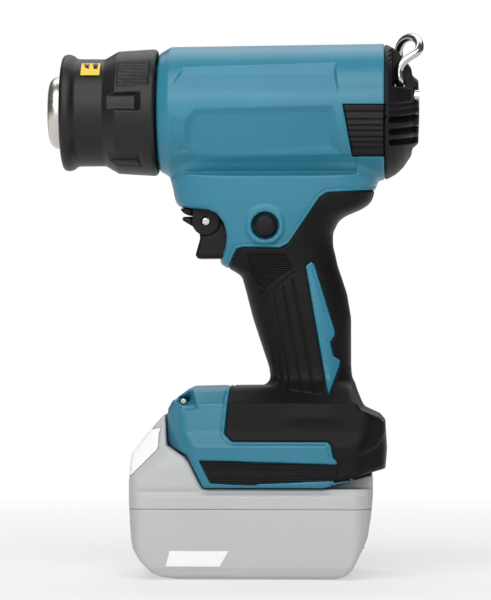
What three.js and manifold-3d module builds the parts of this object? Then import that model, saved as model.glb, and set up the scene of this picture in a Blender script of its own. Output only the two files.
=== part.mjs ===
// A cordless heat gun standing on its slide-on battery pack, in millimetres.
// +Z is up and the nozzle points along -X. Y = 0 is the plane where the two housing halves meet,
// and the origin lies under the middle of the tool, on the surface that the battery stands on.

import * as THREE from 'three';
import { mergeVertices } from 'three/addons/utils/BufferGeometryUtils.js';
import Module from 'manifold-3d';

const wasm = await Module();
wasm.setup();

// ---------------------------------------------------------------- driving dimensions

const FIT = 0.3; // clearance between neighbouring pieces
const HALF_GAP = 0.15; // each housing half stops this far short of Y = 0
const FAR = 60; // a length that reaches past the tool sideways
const SIDES = [['left', -1], ['right', 1]]; // the left side faces -Y

const AXIS_Z = 217; // height of the nozzle, barrel and fan axis
const BARREL_FRONT = -36;
const BARREL_REAR = 69.5;
const BARREL_RADIUS = 32;
const BORE_RADIUS = 28;
const MOUTH_RADIUS = 23;

const GRIP_SKIN = 1.5; // thickness of the soft overmould

const TRIGGER_PIVOT = [-13.8, 165.5]; // X, Z
const LOCK_BUTTON = [14.2, 163.4]; // X, Z
const HOOK_PIVOT = [76.7, 229.5]; // X, Z
const PLUNGER_Z = 153;
const SHIELD_NOTCHES = [7.5, -52.5, 127.5, 187.5]; // degrees up from the left side
const NOTCH_FLOOR = 26.7;

// X, Z and the height in Y of the seat under each screw head
const HOUSING_SCREWS = [
  [-20, 182, 14],
  [54, 180, 14],
  [36, 165, 12],
  [9.5, 134, 9],
  [43, 112, 9],
  [23.6, 98, 9],
  [-20, 72, 22],
  [63, 63, 24],
];

// Z, front X, rear X, half width and corner exponent of the body and handle
const BODY_SECTIONS = [
  [205, -31, 67.5, 22.5, 3.6],
  [185.3, -30.8, 67, 22, 3.6],
  [174, -28, 62.8, 21.3, 3.4],
  [171.1, -26.1, 58.6, 21, 3.3],
  [168.3, -24, 51, 20.8, 3.2],
  [165.5, -22, 47.8, 20.4, 3.1],
  [160, -18, 45.3, 19.6, 3],
  [145.7, -8.2, 47.3, 17.6, 2.8],
  [142.9, -2.1, 48.2, 17.5, 2.7],
  [139.5, 2.8, 49.4, 17.4, 2.6],
  [131.6, 4.9, 52, 17.8, 2.6],
  [120.3, 7.8, 53.9, 17.8, 2.6],
  [104, 13.2, 53.9, 17, 2.6],
  [92.1, 16.2, 54.4, 17.6, 2.6],
  [87, 15.8, 55.6, 21, 2.5],
  [82, 15, 57.2, 27, 2.5],
  [77, 13, 59.6, 33, 2.4],
];

// X, Z outline of the foot seen from the side
const FOOT_SIDE = [
  [-31.3, 74], [-30.8, 63], [-28.7, 60.8], [-20.9, 57.1], [-13.6, 42.5], [42, 42.5],
  [56.5, 46.6], [70, 50.7], [70.8, 59], [69.9, 72], [67.3, 74.9], [58.6, 78.6], [56, 84],
  [54, 88.6], [16, 88.8], [-4, 88.5], [-20.5, 88], [-28.6, 82], [-30.8, 78.3],
];

// half of the foot's outline seen from the end (Y, Z) and from above (X, Y)
const FOOT_END = [[39.5, 40], [39.5, 61.3], [36.2, 68.2], [34.6, 81.1], [20, 89.6]];
const FOOT_PLAN = [[-31.3, 24], [-25, 34], [-18.5, 39.5], [58, 39.5], [70.8, 27]];

// the opening in front of the handle that the trigger hangs in
const TRIGGER_OPENING = [
  [-45, 172], [-26.1, 172.1], [-12.7, 171], [-8.5, 169.2], [-5.1, 164.4], [-3.8, 158.9],
  [-4.7, 152.8], [-7.5, 147.9], [-7.8, 145.1], [-45, 145.1],
];

const HANDLE_CAVITY = [
  [-24, 200], [-24, 176.5], [-10, 176.5], [2, 163], [3, 150], [6, 142], [10.5, 130], [14, 118],
  [17.5, 106], [20.5, 95], [21, 70], [49, 70], [49.5, 95], [49.5, 118], [47.5, 132], [44, 145],
  [41, 156], [42.5, 167], [50, 175], [58, 183], [58, 200],
];

// the area that the soft grip covers, seen from the side
const GRIP_AREA = [
  [-12, 143.2], [-3.4, 143.4], [-0.6, 149.6], [1, 152.6], [4.4, 153.4], [21, 152.9], [25, 155],
  [39.6, 176.4], [43, 178.6], [60.4, 179.6], [80, 182], [80, 49], [58, 47.3], [46.5, 45.2],
  [48.2, 54.8], [46.2, 56.6], [45.1, 62.5], [43.5, 63.9], [-0.3, 63.9], [-3.8, 67.3],
  [-1.7, 88.5], [-12, 95],
];

const SIDE_VENT = [[50.6, 218.7], [69.3, 218.7], [69.3, 195.5], [54.8, 195.5]];
const FOOT_PANEL = [
  [-15.1, 55], [47.6, 53.2], [46.4, 46.3], [11.3, 44.6], [10.1, 43.9], [-10.1, 44.9],
];

const COVER_DOME = [
  [69.8, 0], [69.8, 31.6], [71.3, 31.3], [75, 29.2], [78.3, 26.1], [82.1, 20.5], [82.6, 17.2],
  [85.4, 14.8], [85.9, 0],
];
const COVER_HOLLOW = [
  [69, 0], [69, 28.6], [74, 26.6], [79.6, 18], [80.2, 15.2], [83.4, 12.4], [83.4, 0],
];

const TRIGGER_SIDE = [
  [-18.4, 170.2], [-12.9, 170.3], [-9.5, 168.7], [-5.2, 165.2], [-1.2, 162], [0, 160],
  [-0.4, 155], [-1, 150.5], [-2.5, 148.2], [-17.6, 148.1], [-18.8, 149.7], [-16.6, 157.5],
  [-16.9, 159.6], [-18.7, 162.4], [-21.2, 163.8], [-25, 166.1], [-24.7, 167.7], [-19.4, 167.9],
];
const BRACKET_LIP = [
  [-25.8, 171.7], [-25.2, 170.2], [-23.5, 168.9], [-20.4, 168.3], [-20.4, 174.5], [-21.5, 174.5],
  [-21.5, 171.7],
];

// battery outlines: the side, half of the end and half of the plan
const BATTERY_SIDE = [
  [-26, 0], [47.6, 0], [53.1, 2.5], [57.7, 11.7], [62.8, 23.6], [64.1, 34.6], [64.1, 43],
  [63.7, 48], [56.5, 46], [42, 41.9], [-14, 41.9], [-20, 53.6], [-22.4, 56.5], [-31, 61.6],
  [-32.2, 76.3], [-39.7, 67.7], [-47.5, 57.6], [-49.4, 44.7], [-49.4, 35.6],
  [-47.5, 16.3], [-43.3, 8], [-35, 1.6],
];
const BATTERY_END = [
  [31.5, 0], [36, 1.8], [37.5, 6], [37.5, 50], [34.5, 60], [32, 77],
];
const BATTERY_PLAN = [[-49.4, 22], [-46, 32], [-38, 37.5], [55, 37.5], [61.5, 34], [64.1, 26]];
const BATTERY_SHOULDER = [42, 41.9]; // X, Z where the rim rises behind the flat shoulders
const BATTERY_WALL = 2;
const PARTING_Z = 32.6;

const CELL_RADIUS = 9.25;
const CELL_PITCH = 18.4;
const CELL_ROWS_Z = [12, 30.1];
const FIRST_CELL_X = -28.8;

// ---------------------------------------------------------------- materials

function finish(color, roughness, metalness = 0) {
  return new THREE.MeshStandardMaterial({ color, roughness, metalness });
}

const TEAL = finish(0x2f7f93, 0.42);
const BLACK_PLASTIC = finish(0x1d1e20, 0.5);
const BLACK_RUBBER = finish(0x29292b, 0.75);
const STEEL = finish(0xb9b4ab, 0.3, 1);
const CHROME = finish(0xd8d9da, 0.12, 1);
const ZINC = finish(0xaeb0b2, 0.35, 1);
const YELLOW = finish(0xf2dc3a, 0.45);
const MICA = finish(0xc9bfa6, 0.8);
const HEAT_WIRE = finish(0x8d8377, 0.5, 1);
const CERAMIC = finish(0xe6e2d8, 0.7);
const BOARD_GREEN = finish(0x1f5a3a, 0.5);
const BRASS = finish(0xc9a24b, 0.3, 1);
const PALE_GREY = finish(0xb9bbbd, 0.5);
const CELL_BLUE = finish(0x4a7fb0, 0.5);

// ---------------------------------------------------------------- solids

function solid(geometry) {
  const bare = new THREE.BufferGeometry();
  bare.setAttribute('position', geometry.getAttribute('position'));
  if (geometry.index) {
    bare.setIndex(geometry.index);
  }
  const merged = mergeVertices(bare, 1e-4);
  const corners = merged.index.array;
  const faces = [];
  for (let i = 0; i < corners.length; i += 3) {
    const [a, b, c] = [corners[i], corners[i + 1], corners[i + 2]];
    if (a !== b && b !== c && c !== a) {
      faces.push(a, b, c);
    }
  }
  const vertProperties = new Float32Array(merged.attributes.position.array);
  const triVerts = new Uint32Array(faces);
  const outward = signedVolume(vertProperties, triVerts) > 0;
  if (!outward) {
    triVerts.reverse();
  }
  return new wasm.Manifold(new wasm.Mesh({ numProp: 3, vertProperties, triVerts }));
}

function signedVolume(positions, faces) {
  const corner = (index) => new THREE.Vector3().fromArray(positions, index * 3);
  let total = 0;
  for (let i = 0; i < faces.length; i += 3) {
    const normal = corner(faces[i + 1]).cross(corner(faces[i + 2]));
    total += corner(faces[i]).dot(normal);
  }
  return total / 6;
}

function join(pieces) {
  return pieces.reduce((whole, piece) => whole.add(piece));
}

function shapeOf(outline) {
  return new THREE.Shape(outline.map(([x, y]) => new THREE.Vector2(x, y)));
}

function extrude(outline, depth) {
  return new THREE.ExtrudeGeometry(shapeOf(outline), { depth, bevelEnabled: false });
}

// an X, Z outline between two values of Y
function prismY(outline, y0, y1) {
  const geometry = extrude(outline, y1 - y0);
  return solid(geometry.rotateX(Math.PI / 2).translate(0, y1, 0));
}

// a Y, Z outline between two values of X
function prismX(outline, x0, x1) {
  const turn = new THREE.Matrix4().makeBasis(
    new THREE.Vector3(0, 1, 0),
    new THREE.Vector3(0, 0, 1),
    new THREE.Vector3(1, 0, 0),
  );
  return solid(extrude(outline, x1 - x0).applyMatrix4(turn).translate(x0, 0, 0));
}

// an X, Y outline between two values of Z
function prismZ(outline, z0, z1) {
  return solid(extrude(outline, z1 - z0).translate(0, 0, z0));
}

function box(x0, x1, y0, y1, z0, z1) {
  const geometry = new THREE.BoxGeometry(x1 - x0, y1 - y0, z1 - z0);
  return solid(geometry.translate((x0 + x1) / 2, (y0 + y1) / 2, (z0 + z1) / 2));
}

function rodX(radius, x0, x1, y, z, segments = 20) {
  const geometry = new THREE.CylinderGeometry(radius, radius, x1 - x0, segments);
  return solid(geometry.rotateZ(-Math.PI / 2).translate((x0 + x1) / 2, y, z));
}

function rodY(radius, y0, y1, x, z, segments = 20) {
  const geometry = new THREE.CylinderGeometry(radius, radius, y1 - y0, segments);
  return solid(geometry.translate(x, (y0 + y1) / 2, z));
}

function rodZ(radius, z0, z1, x, y, segments = 16) {
  const geometry = new THREE.CylinderGeometry(radius, radius, z1 - z0, segments);
  return solid(geometry.rotateX(Math.PI / 2).translate(x, y, (z0 + z1) / 2));
}

// X, radius pairs turned about the barrel axis; a profile off the axis closes on itself
function turned(profile, segments = 32) {
  const closed = profile[0][1] > 0 ? [...profile, profile[0]] : profile;
  const points = closed.map(([x, radius]) => new THREE.Vector2(radius, x));
  const geometry = new THREE.LatheGeometry(points, segments);
  return solid(geometry.rotateZ(-Math.PI / 2).translate(0, 0, AXIS_Z));
}

// the same outline moved inwards, or outwards for a negative distance
function inset(outline, distance) {
  const points = outline.map(([x, y]) => new THREE.Vector2(x, y));
  const turn = Math.sign(THREE.ShapeUtils.area(points));
  const inward = (from, to) => {
    const edge = to.clone().sub(from).normalize();
    return new THREE.Vector2(-edge.y, edge.x).multiplyScalar(turn);
  };
  return points.map((point, i) => {
    const before = inward(points.at(i - 1), point);
    const after = inward(point, points[(i + 1) % points.length]);
    const step = distance / (1 + before.dot(after));
    return [point.x + (before.x + after.x) * step, point.y + (before.y + after.y) * step];
  });
}

// a half outline in its first column completed with its mirror image
function mirroredAcross(half) {
  return [...half, ...half.map(([y, z]) => [-y, z]).reverse()];
}

function mirroredPlan(half) {
  return [...half, ...half.map(([x, y]) => [x, -y]).reverse()];
}

// the solid that shows the three given outlines from the side, the end and above
function fromThreeViews(side, end, plan, margin = 0) {
  return prismY(inset(side, margin), -FAR, FAR)
    .intersect(prismX(inset(end, margin), -FAR - 40, FAR + 40))
    .intersect(prismZ(inset(plan, margin), -10, 110));
}

// rounded sections stacked in Z, each given as Z, front X, rear X, half width and exponent
function stacked(sections, margin = 0, around = 20) {
  const positions = [];
  const faces = [];
  sections.forEach(([z, front, rear, halfWidth, exponent]) => {
    const middle = (front + rear) / 2;
    const reachX = (rear - front) / 2 - margin;
    const reachY = halfWidth - margin;
    for (let i = 0; i < around; i += 1) {
      const angle = (2 * Math.PI * i) / around;
      const bulge = (value) => Math.sign(value) * Math.abs(value) ** (2 / exponent);
      positions.push(middle + reachX * bulge(Math.cos(angle)), reachY * bulge(Math.sin(angle)), z);
    }
  });
  for (let level = 0; level < sections.length - 1; level += 1) {
    for (let i = 0; i < around; i += 1) {
      const a = level * around + i;
      const b = level * around + ((i + 1) % around);
      faces.push(a, b, b + around, a, b + around, a + around);
    }
  }
  for (const level of [0, sections.length - 1]) {
    const [z, front, rear] = sections[level];
    const centre = positions.length / 3;
    positions.push((front + rear) / 2, 0, z);
    for (let i = 0; i < around; i += 1) {
      const a = level * around + i;
      const b = level * around + ((i + 1) % around);
      faces.push(...(level === 0 ? [centre, b, a] : [centre, a, b]));
    }
  }
  const geometry = new THREE.BufferGeometry();
  geometry.setAttribute('position', new THREE.Float32BufferAttribute(positions, 3));
  geometry.setIndex(faces);
  return solid(geometry);
}

// a round wire along a smooth curve
function wire(points, radius, steps, sides, curve = new THREE.CatmullRomCurve3(points)) {
  const section = new THREE.Shape();
  section.absarc(0, 0, radius, 0, 2 * Math.PI);
  const options = { steps, extrudePath: curve, bevelEnabled: false, curveSegments: sides };
  return solid(new THREE.ExtrudeGeometry(section, options));
}

function helix(axis, radius, turns, start, end, stepsPerTurn) {
  const count = Math.round(turns * stepsPerTurn);
  return Array.from({ length: count + 1 }, (_, i) => {
    const angle = (2 * Math.PI * i) / stepsPerTurn;
    const along = start + ((end - start) * i) / count;
    return axis(along, radius * Math.cos(angle), radius * Math.sin(angle));
  });
}

// ---------------------------------------------------------------- housing and grips

function bodyAndFoot(margin = 0) {
  const foot = fromThreeViews(
    FOOT_SIDE,
    mirroredAcross(FOOT_END),
    mirroredPlan(FOOT_PLAN),
    margin,
  );
  return stacked(BODY_SECTIONS, margin).add(foot).subtract(prismY(TRIGGER_OPENING, -FAR, FAR));
}

function barrel() {
  return turned([
    [BARREL_FRONT, 0],
    [BARREL_FRONT, 27.6],
    [-33.5, 29.4],
    [-28.9, 30.6],
    [BARREL_REAR, BARREL_RADIUS],
    [BARREL_REAR, 0],
  ]);
}

// the T-shaped way that the battery's tongue slides into, seen from the end
const CHANNEL_NECK = 24.7; // half width of its lower part
const CHANNEL = mirroredAcross([
  [CHANNEL_NECK, 40], [CHANNEL_NECK, 49.4], [29.7, 49.4], [29.7, 58],
]);

// the channel, with the way of the battery's raised rim behind it
function slideWay() {
  return prismX(CHANNEL, -40, 57).add(box(50, 64.6, -CHANNEL_NECK, CHANNEL_NECK, 40, 48.5));
}

function hollows() {
  const spaces = [
    turned([[-33, 0], [-33, BORE_RADIUS], [BARREL_REAR + 1, BORE_RADIUS], [BARREL_REAR + 1, 0]]),
    rodX(MOUTH_RADIUS, BARREL_FRONT - 1, -32, 0, AXIS_Z, 32),
    prismY(HANDLE_CAVITY, -12.5, 12.5),
    box(-22, -5, -12.6, 12.6, 164, 177), // the trigger bracket's pocket
    box(-13, 4.4, -12.8, 12.8, 147.7, 168.6), // the way of the trigger's rear edge
    slideWay(),
    box(28, 55, -21, 21, 57, 72), // the terminal block's pocket
  ];
  return join(spaces);
}

function screwSpaces() {
  return join(HOUSING_SCREWS.map(([x, z, seat]) => {
    const counterbore = rodY(3.7, seat, FAR, x, z, 10);
    return counterbore.add(rodY(2, -7.5, seat + 1, x, z, 8));
  }));
}

function screwBosses() {
  const inCavity = HOUSING_SCREWS.filter(([, z]) => z > 80);
  return join(inCavity.map(([x, z]) => rodY(4.5, -13.5, 13.5, x, z, 10)));
}

function ventOpenings() {
  const area = inset(SIDE_VENT, -FIT);
  return prismY(area, -FAR, -18).add(prismY(area, 18, FAR));
}

function footPanelPockets() {
  const area = inset(FOOT_PANEL, -FIT);
  return prismY(area, -FAR, -38).add(prismY(area, 38, FAR));
}

function lockButtonBoss() {
  const [x, z] = LOCK_BUTTON;
  return rodY(9, -21.4, 21.4, x, z, 24);
}

function lockButtonHole() {
  const [x, z] = LOCK_BUTTON;
  return rodY(5.35 + FIT, -FAR, FAR, x, z, 20);
}

const housing = (() => {
  const underSkin = bodyAndFoot(GRIP_SKIN + FIT);
  const covered = prismY(inset(GRIP_AREA, -FIT), -FAR, FAR).subtract(underSkin);
  return barrel()
    .add(bodyAndFoot())
    .add(lockButtonBoss())
    .subtract(covered)
    .subtract(hollows())
    .add(screwBosses().intersect(underSkin))
    .subtract(screwSpaces())
    .subtract(ventOpenings())
    .subtract(footPanelPockets())
    .subtract(lockButtonHole());
})();

const grips = prismY(GRIP_AREA, -FAR, FAR)
  .intersect(bodyAndFoot())
  .subtract(bodyAndFoot(GRIP_SKIN))
  .subtract(slideWay())
  .subtract(screwSpaces());

// one side of a solid, stopping short of the middle plane
function half(whole, side) {
  const [y0, y1] = side < 0 ? [-FAR, -HALF_GAP] : [HALF_GAP, FAR];
  return whole.intersect(box(-120, 120, y0, y1, -10, 270));
}

function inletGrille(side) {
  const rear = BARREL_REAR - FIT;
  const shell = turned([[48, 28.3], [48, 31.4], [rear, 31.4], [rear, 28.3]], 48);
  const [y0, y1] = side < 0 ? [-FAR, -18.5] : [18.5, FAR];
  const slots = Array.from({ length: 6 }, (_, i) => {
    const z = 199 + i * 3.2;
    return box(57, 67.2, y0, y1, z - 0.8, z + 0.8);
  });
  return shell.intersect(prismY(SIDE_VENT, y0, y1)).subtract(join(slots));
}

function footInsert(side) {
  const [y0, y1] = side < 0 ? [-39.5, -38 - FIT] : [38 + FIT, 39.5];
  return prismY(FOOT_PANEL, y0, y1);
}

function housingScrew([x, z, seat]) {
  const bottom = seat + FIT;
  return rodY(3, bottom, bottom + 2.6, x, z, 10)
    .add(rodY(1.5, -6.5, bottom + 1, x, z, 6))
    .subtract(rodY(1.5, bottom + 1.2, bottom + 4, x, z, 6));
}

// ---------------------------------------------------------------- rear cover and hook

const HOOK_POCKET_Y = 9;
const REAR_SCREW = { y: 11.5, z: 223.8 };

function onBothSides(make) {
  return make(-1).add(make(1));
}

// a box whose Y values are given for the right side
function sideBox(side, x0, x1, y0, y1, z0, z1) {
  return side < 0 ? box(x0, x1, -y1, -y0, z0, z1) : box(x0, x1, y0, y1, z0, z1);
}

function rearCover() {
  const pocket = (side, wall) =>
    sideBox(side, 72.9 - wall, 100, HOOK_POCKET_Y - wall, FAR, 227.1 - wall, 260);
  const screwNotch = (side, wall) =>
    sideBox(side, 83.2 - wall, 100, 8.3 - wall, FAR, 220.6 - wall, 228);
  const vents = (side) => join(
    [201.5, 206.3, 211.6].map((z) => sideBox(side, 71.3, 100, 0.8, FAR, z - 1.2, z + 1.2)),
  );
  const web = box(71, 85, -0.8, 0.8, 196, 224);
  const pivotHole = rodY(2.3, -10, 10, ...HOOK_PIVOT, 16);
  const pillar = (side) => rodX(3.4, 73, 83.3, side * REAR_SCREW.y, REAR_SCREW.z, 16);
  const pillarHole = (side) => rodX(1.7, 72, 84, side * REAR_SCREW.y, REAR_SCREW.z, 12);
  const hollow = turned(COVER_HOLLOW)
    .subtract(onBothSides((side) => pocket(side, 2.2)))
    .subtract(onBothSides((side) => screwNotch(side, 1.8)));
  return turned(COVER_DOME)
    .subtract(hollow.subtract(web))
    .subtract(onBothSides(vents))
    .add(onBothSides(pillar))
    .subtract(onBothSides((side) => pocket(side, 0)))
    .subtract(onBothSides((side) => screwNotch(side, 0)))
    .subtract(onBothSides(pillarHole))
    .subtract(pivotHole);
}

function rearScrew(side) {
  const y = side * REAR_SCREW.y;
  return rodX(2.8, 83.2 + FIT, 85.8, y, REAR_SCREW.z, 20)
    .add(rodX(1.3, 74.5, 84, y, REAR_SCREW.z, 10))
    .subtract(rodX(1.2, 85, 87, y, REAR_SCREW.z, 6));
}

// a bail of bent wire whose two ends turn inwards on the pivot axis
function hook() {
  const [x, z] = HOOK_PIVOT;
  const route = [
    [x, -7.5, z], [x, -10.5, z], [x - 0.1, -12.6, z + 1.2], [x - 0.1, -13, z + 3.6],
    [77.6, -13, 236.5], [80.7, -13, 239.6], [84, -12.6, 242.2], [85.6, -11, 244.3],
    [86, -8, 247.5], [84.9, -3, 250.7], [82.4, 3, 252.4], [79, 8, 251.3], [76.8, 11.5, 248.3],
    [76.2, 13, 244.5], [76.2, 13, 239.8], [76.6, 13, 233.6], [x, 12.6, z + 1.2],
    [x, 10.5, z], [x, 7.5, z],
  ];
  return wire(route.map((point) => new THREE.Vector3(...point)), 2, 40, 4);
}

// ---------------------------------------------------------------- nozzle and heater

function nozzleTube() {
  const lip = 4.5;
  const wall = 1;
  const arc = (radius) => Array.from({ length: 4 }, (_, i) => {
    const angle = (Math.PI / 2) * (i / 3);
    return [-83.5 - radius * Math.sin(angle), 12.5 + radius * Math.cos(angle)];
  });
  return turned([
    [-28.8, 17 - wall],
    [-28.8, 27],
    [-29.8, 27],
    [-29.8, 17],
    ...arc(lip),
    ...arc(lip - wall).reverse(),
  ], 28);
}

// the shield that twists onto the collar, with flat-bottomed notches for the fingers
function nozzleShield() {
  const shell = turned([
    [-81.7, 19.5], [-81.7, 26], [-80.6, 27.3], [-74.6, 27.3], [-73.6, 25.4], [-61.4, 25.2],
    [-55, 28.9], [-38, 29.9], [-36.9, 29.2], [-36.9, 25.4], [-47, 25.2], [-47, 22.9], [-50, 22.9],
    [-50, 25.2], [-56, 25], [-60.4, 22.8], [-79.2, 22.8], [-79.2, 19.5],
  ]);
  const notches = SHIELD_NOTCHES.map((turn) => {
    const geometry = new THREE.BoxGeometry(16, 7.6, 6);
    const angle = THREE.MathUtils.degToRad(90 - turn);
    geometry.translate(-52, 0, NOTCH_FLOOR + 3).rotateX(angle).translate(0, 0, AXIS_Z);
    return solid(geometry);
  });
  return shell.subtract(join(notches));
}

function shieldCollar() {
  return turned([
    [-52, 20.5], [-52, 22.5], [-32.7, 22.5], [-32.7, 27.4], [-30.2, 27.4], [-30.2, 20.5],
  ], 28);
}

// a patch of film that follows the shield's neck on the left side
function cautionLabel() {
  const film = turned([[-71.8, 25.6], [-71.8, 26], [-63, 26], [-63, 25.6]]);
  return film.intersect(box(-80, -55, -40, -5, 233.4, 239.4));
}

function heaterSleeve() {
  return turned([[-79, 14.2], [-79, 15.2], [-28.2, 15.2], [-28.2, 14.2]], 32);
}

function heaterFormer() {
  const reach = 9.6;
  const half = 0.8;
  const upright = box(-78, -30, -half, half, AXIS_Z - reach, AXIS_Z + reach);
  return upright.add(box(-78, -30, -reach, reach, AXIS_Z - half, AXIS_Z + half));
}

function heaterCoil() {
  const place = (along, a, b) => new THREE.Vector3(along, a, AXIS_Z + b);
  const points = helix(place, 11.2, 7, -77, -32, 8);
  return wire(points, 0.7, 56, 2);
}

function heaterBase() {
  const ring = rodX(15.6, -27, -25, 0, AXIS_Z, 24);
  const holes = Array.from({ length: 6 }, (_, i) => {
    const angle = (Math.PI / 3) * i;
    return rodX(2.6, -28, -24, 10 * Math.cos(angle), AXIS_Z + 10 * Math.sin(angle), 8);
  });
  return ring.subtract(join(holes));
}

function thermalCutoff() {
  return rodX(3.2, -24.7, -18, 0, AXIS_Z, 16).add(rodX(1.4, -20, -12, 0, AXIS_Z, 10));
}

// ---------------------------------------------------------------- fan

function airGuide() {
  return turned([
    [-27.8, 16], [-27.8, 17.6], [-4, 17.6], [18, 27.6], [66, 27.6], [66, 26], [18.6, 26], [-3.6, 16],
  ], 32);
}

function motor() {
  return rodX(14, 26, 52, 0, AXIS_Z, 32)
    .add(rodX(6, 22, 56, 0, AXIS_Z, 24))
    .subtract(rodX(1.5 + FIT + 0.05, 21, 57, 0, AXIS_Z, 12));
}

function motorMount() {
  const sleeve = turned([[30, 14 + FIT], [30, 15.8], [48, 15.8], [48, 14 + FIT]], 32);
  const vane = (angle) => {
    const geometry = new THREE.BoxGeometry(16, 1.6, 10.4);
    geometry.translate(39, 0, 20.4).rotateX(angle).translate(0, 0, AXIS_Z);
    return solid(geometry);
  };
  return sleeve.add(join([0, 1, 2, 3].map((i) => vane((Math.PI / 2) * (i + 0.5)))));
}

function impeller() {
  const hub = rodX(5, 57.3, 66.5, 0, AXIS_Z, 20).add(rodX(24, 57.3, 58.5, 0, AXIS_Z, 36));
  const blade = (i) => {
    const geometry = new THREE.BoxGeometry(7, 1.2, 15);
    geometry.rotateX(0.5).translate(61.8, -3.5, 15);
    geometry.rotateX((2 * Math.PI * i) / 9).translate(0, 0, AXIS_Z);
    return solid(geometry);
  };
  const blades = join(Array.from({ length: 9 }, (_, i) => blade(i)));
  return hub.add(blades).subtract(rodX(1.5 + FIT + 0.05, 56, 68, 0, AXIS_Z, 12));
}

// ---------------------------------------------------------------- trigger and switch

const EAR_RADIUS = 6.5;
const TRIGGER_HALF_WIDTH = 12.4;
const TRIGGER_CORE = 9.8; // half width of the trigger between the bracket's ears

function trigger() {
  const [x, z] = TRIGGER_PIVOT;
  const clear = EAR_RADIUS + 0.7;
  const earSpace = (side) => {
    const [y0, y1] = side < 0 ? [-FAR, -TRIGGER_CORE] : [TRIGGER_CORE, FAR];
    return rodY(clear, y0, y1, x, z, 32).add(box(x - clear, x + clear, y0, y1, z, 180));
  };
  return prismY(TRIGGER_SIDE, -TRIGGER_HALF_WIDTH, TRIGGER_HALF_WIDTH)
    .subtract(onBothSides(earSpace))
    .subtract(rodY(2.4, -FAR, FAR, x, z, 20));
}

function triggerBracket() {
  const [x, z] = TRIGGER_PIVOT;
  const ear = (side) => {
    const [y0, y1] = side < 0 ? [-12.2, -10.2] : [10.2, 12.2];
    return rodY(EAR_RADIUS, y0, y1, x, z, 28).add(box(x - 6.2, x + 6.2, y0, y1, z, 174.5));
  };
  return box(-21.5, -6, -12.2, 12.2, 172.4, 174.5)
    .add(prismY(BRACKET_LIP, -12.2, 12.2))
    .add(onBothSides(ear))
    .subtract(rodY(2.3, -FAR, FAR, x, z, 20));
}

function triggerPin() {
  return rodY(2, -12.2, 12.2, ...TRIGGER_PIVOT, 20);
}

function triggerSpring() {
  const place = (along, a, b) => new THREE.Vector3(along, a, PLUNGER_Z + b);
  return wire(helix(place, 3.3, 4, 3.2, 11.2, 8), 0.4, 32, 2);
}

function switchBody() {
  return box(12, 32, -9, 9, 140, 156.5)
    .subtract(rodX(2.35, 11, 19.5, 0, PLUNGER_Z, 16));
}

function switchPlunger() {
  return rodX(2, -0.1, 14.5, 0, PLUNGER_Z, 16).add(rodX(4, 1, 2.3, 0, PLUNGER_Z, 20));
}

// the cross bolt that locks the trigger, with a head in each side of the housing
function lockButton() {
  const [x, z] = LOCK_BUTTON;
  return rodY(5.35, -23.3, -13.5, x, z, 20)
    .add(rodY(3.5, -14, 12, x, z, 12))
    .add(rodY(5.35, 11.5, 19.5, x, z, 20));
}

// ---------------------------------------------------------------- electronics in the handle

function controlBoard() {
  return box(33.5, 35.1, -11, 11, 84, 130)
    .add(box(28.5, 34, -8, 8, 92, 104))
    .add(rodX(4, 29, 34, 0, 118, 20));
}

const TERMINAL_Y = 14;

function terminalBlock() {
  const slot = (side) =>
    sideBox(side, 32.6, 52.4, TERMINAL_Y - 0.75, TERMINAL_Y + 0.75, 58, 62.4);
  return box(30, 54, -20, 20, 58.5, 70).subtract(onBothSides(slot));
}

function terminal(side) {
  return sideBox(side, 33, 52, TERMINAL_Y - 0.4, TERMINAL_Y + 0.4, 51.6, 62);
}

// ---------------------------------------------------------------- battery

// the raised rear rim is narrow enough to follow the tongue through the foot
function batteryOutside(margin = 0) {
  const [shoulderX, shoulderZ] = BATTERY_SHOULDER;
  const besideRim = (side) => sideBox(
    side, shoulderX - margin, FAR * 2, CHANNEL_NECK - FIT - margin, FAR, shoulderZ - margin, FAR * 2,
  );
  return fromThreeViews(
    BATTERY_SIDE,
    mirroredAcross(BATTERY_END),
    mirroredPlan(BATTERY_PLAN),
    margin,
  ).subtract(onBothSides(besideRim));
}

const BATTERY_SCREWS = [[-42.6, -20], [-42.6, 20], [57.9, -22], [57.9, 22]];
const BATTERY_SCREW_SEAT = 16;
const LATCH_HALF_WIDTH = 16;

function batteryPillars(z0, z1) {
  return join(BATTERY_SCREWS.map(([x, y]) => rodZ(3.3, z0, z1, x, y, 10)));
}

function batteryScrewSpaces() {
  return join(BATTERY_SCREWS.map(([x, y]) => {
    const counterbore = rodZ(3, -1, BATTERY_SCREW_SEAT, x, y, 10);
    return counterbore.add(rodZ(1.65, BATTERY_SCREW_SEAT - 1, 38, x, y, 8));
  }));
}

function batteryCaseLower() {
  return batteryOutside()
    .subtract(batteryOutside(BATTERY_WALL))
    .add(batteryPillars(3, PARTING_Z).intersect(batteryOutside(1)))
    .subtract(batteryScrewSpaces())
    .intersect(box(-80, 80, -FAR, FAR, -1, PARTING_Z - HALF_GAP));
}

function batteryCaseUpper() {
  const tongue = box(-24, 55, -24, 24, 41, 51).add(box(-24, 55, -29, 29, 50, 57));
  const terminalSlot = (side) =>
    sideBox(side, 30, 60, TERMINAL_Y - 1.2, TERMINAL_Y + 1.2, 50.8, 60);
  const tongueHollow = box(-16, 28, -21.5, 21.5, 38, 54.6);
  const latchPocket = (wall) =>
    box(-46.4 - wall, -34.2 + wall, -16.4 - wall, 16.4 + wall, 44 - wall, 90);
  const outside = batteryOutside();
  return outside
    .add(tongue)
    .subtract(batteryOutside(BATTERY_WALL).subtract(latchPocket(1.6)))
    .add(batteryPillars(PARTING_Z, 46.5).intersect(outside))
    .subtract(tongueHollow)
    .subtract(latchPocket(0))
    .subtract(onBothSides(terminalSlot))
    .subtract(batteryScrewSpaces())
    .intersect(box(-80, 80, -FAR, FAR, PARTING_Z + HALF_GAP, 90));
}

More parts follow.
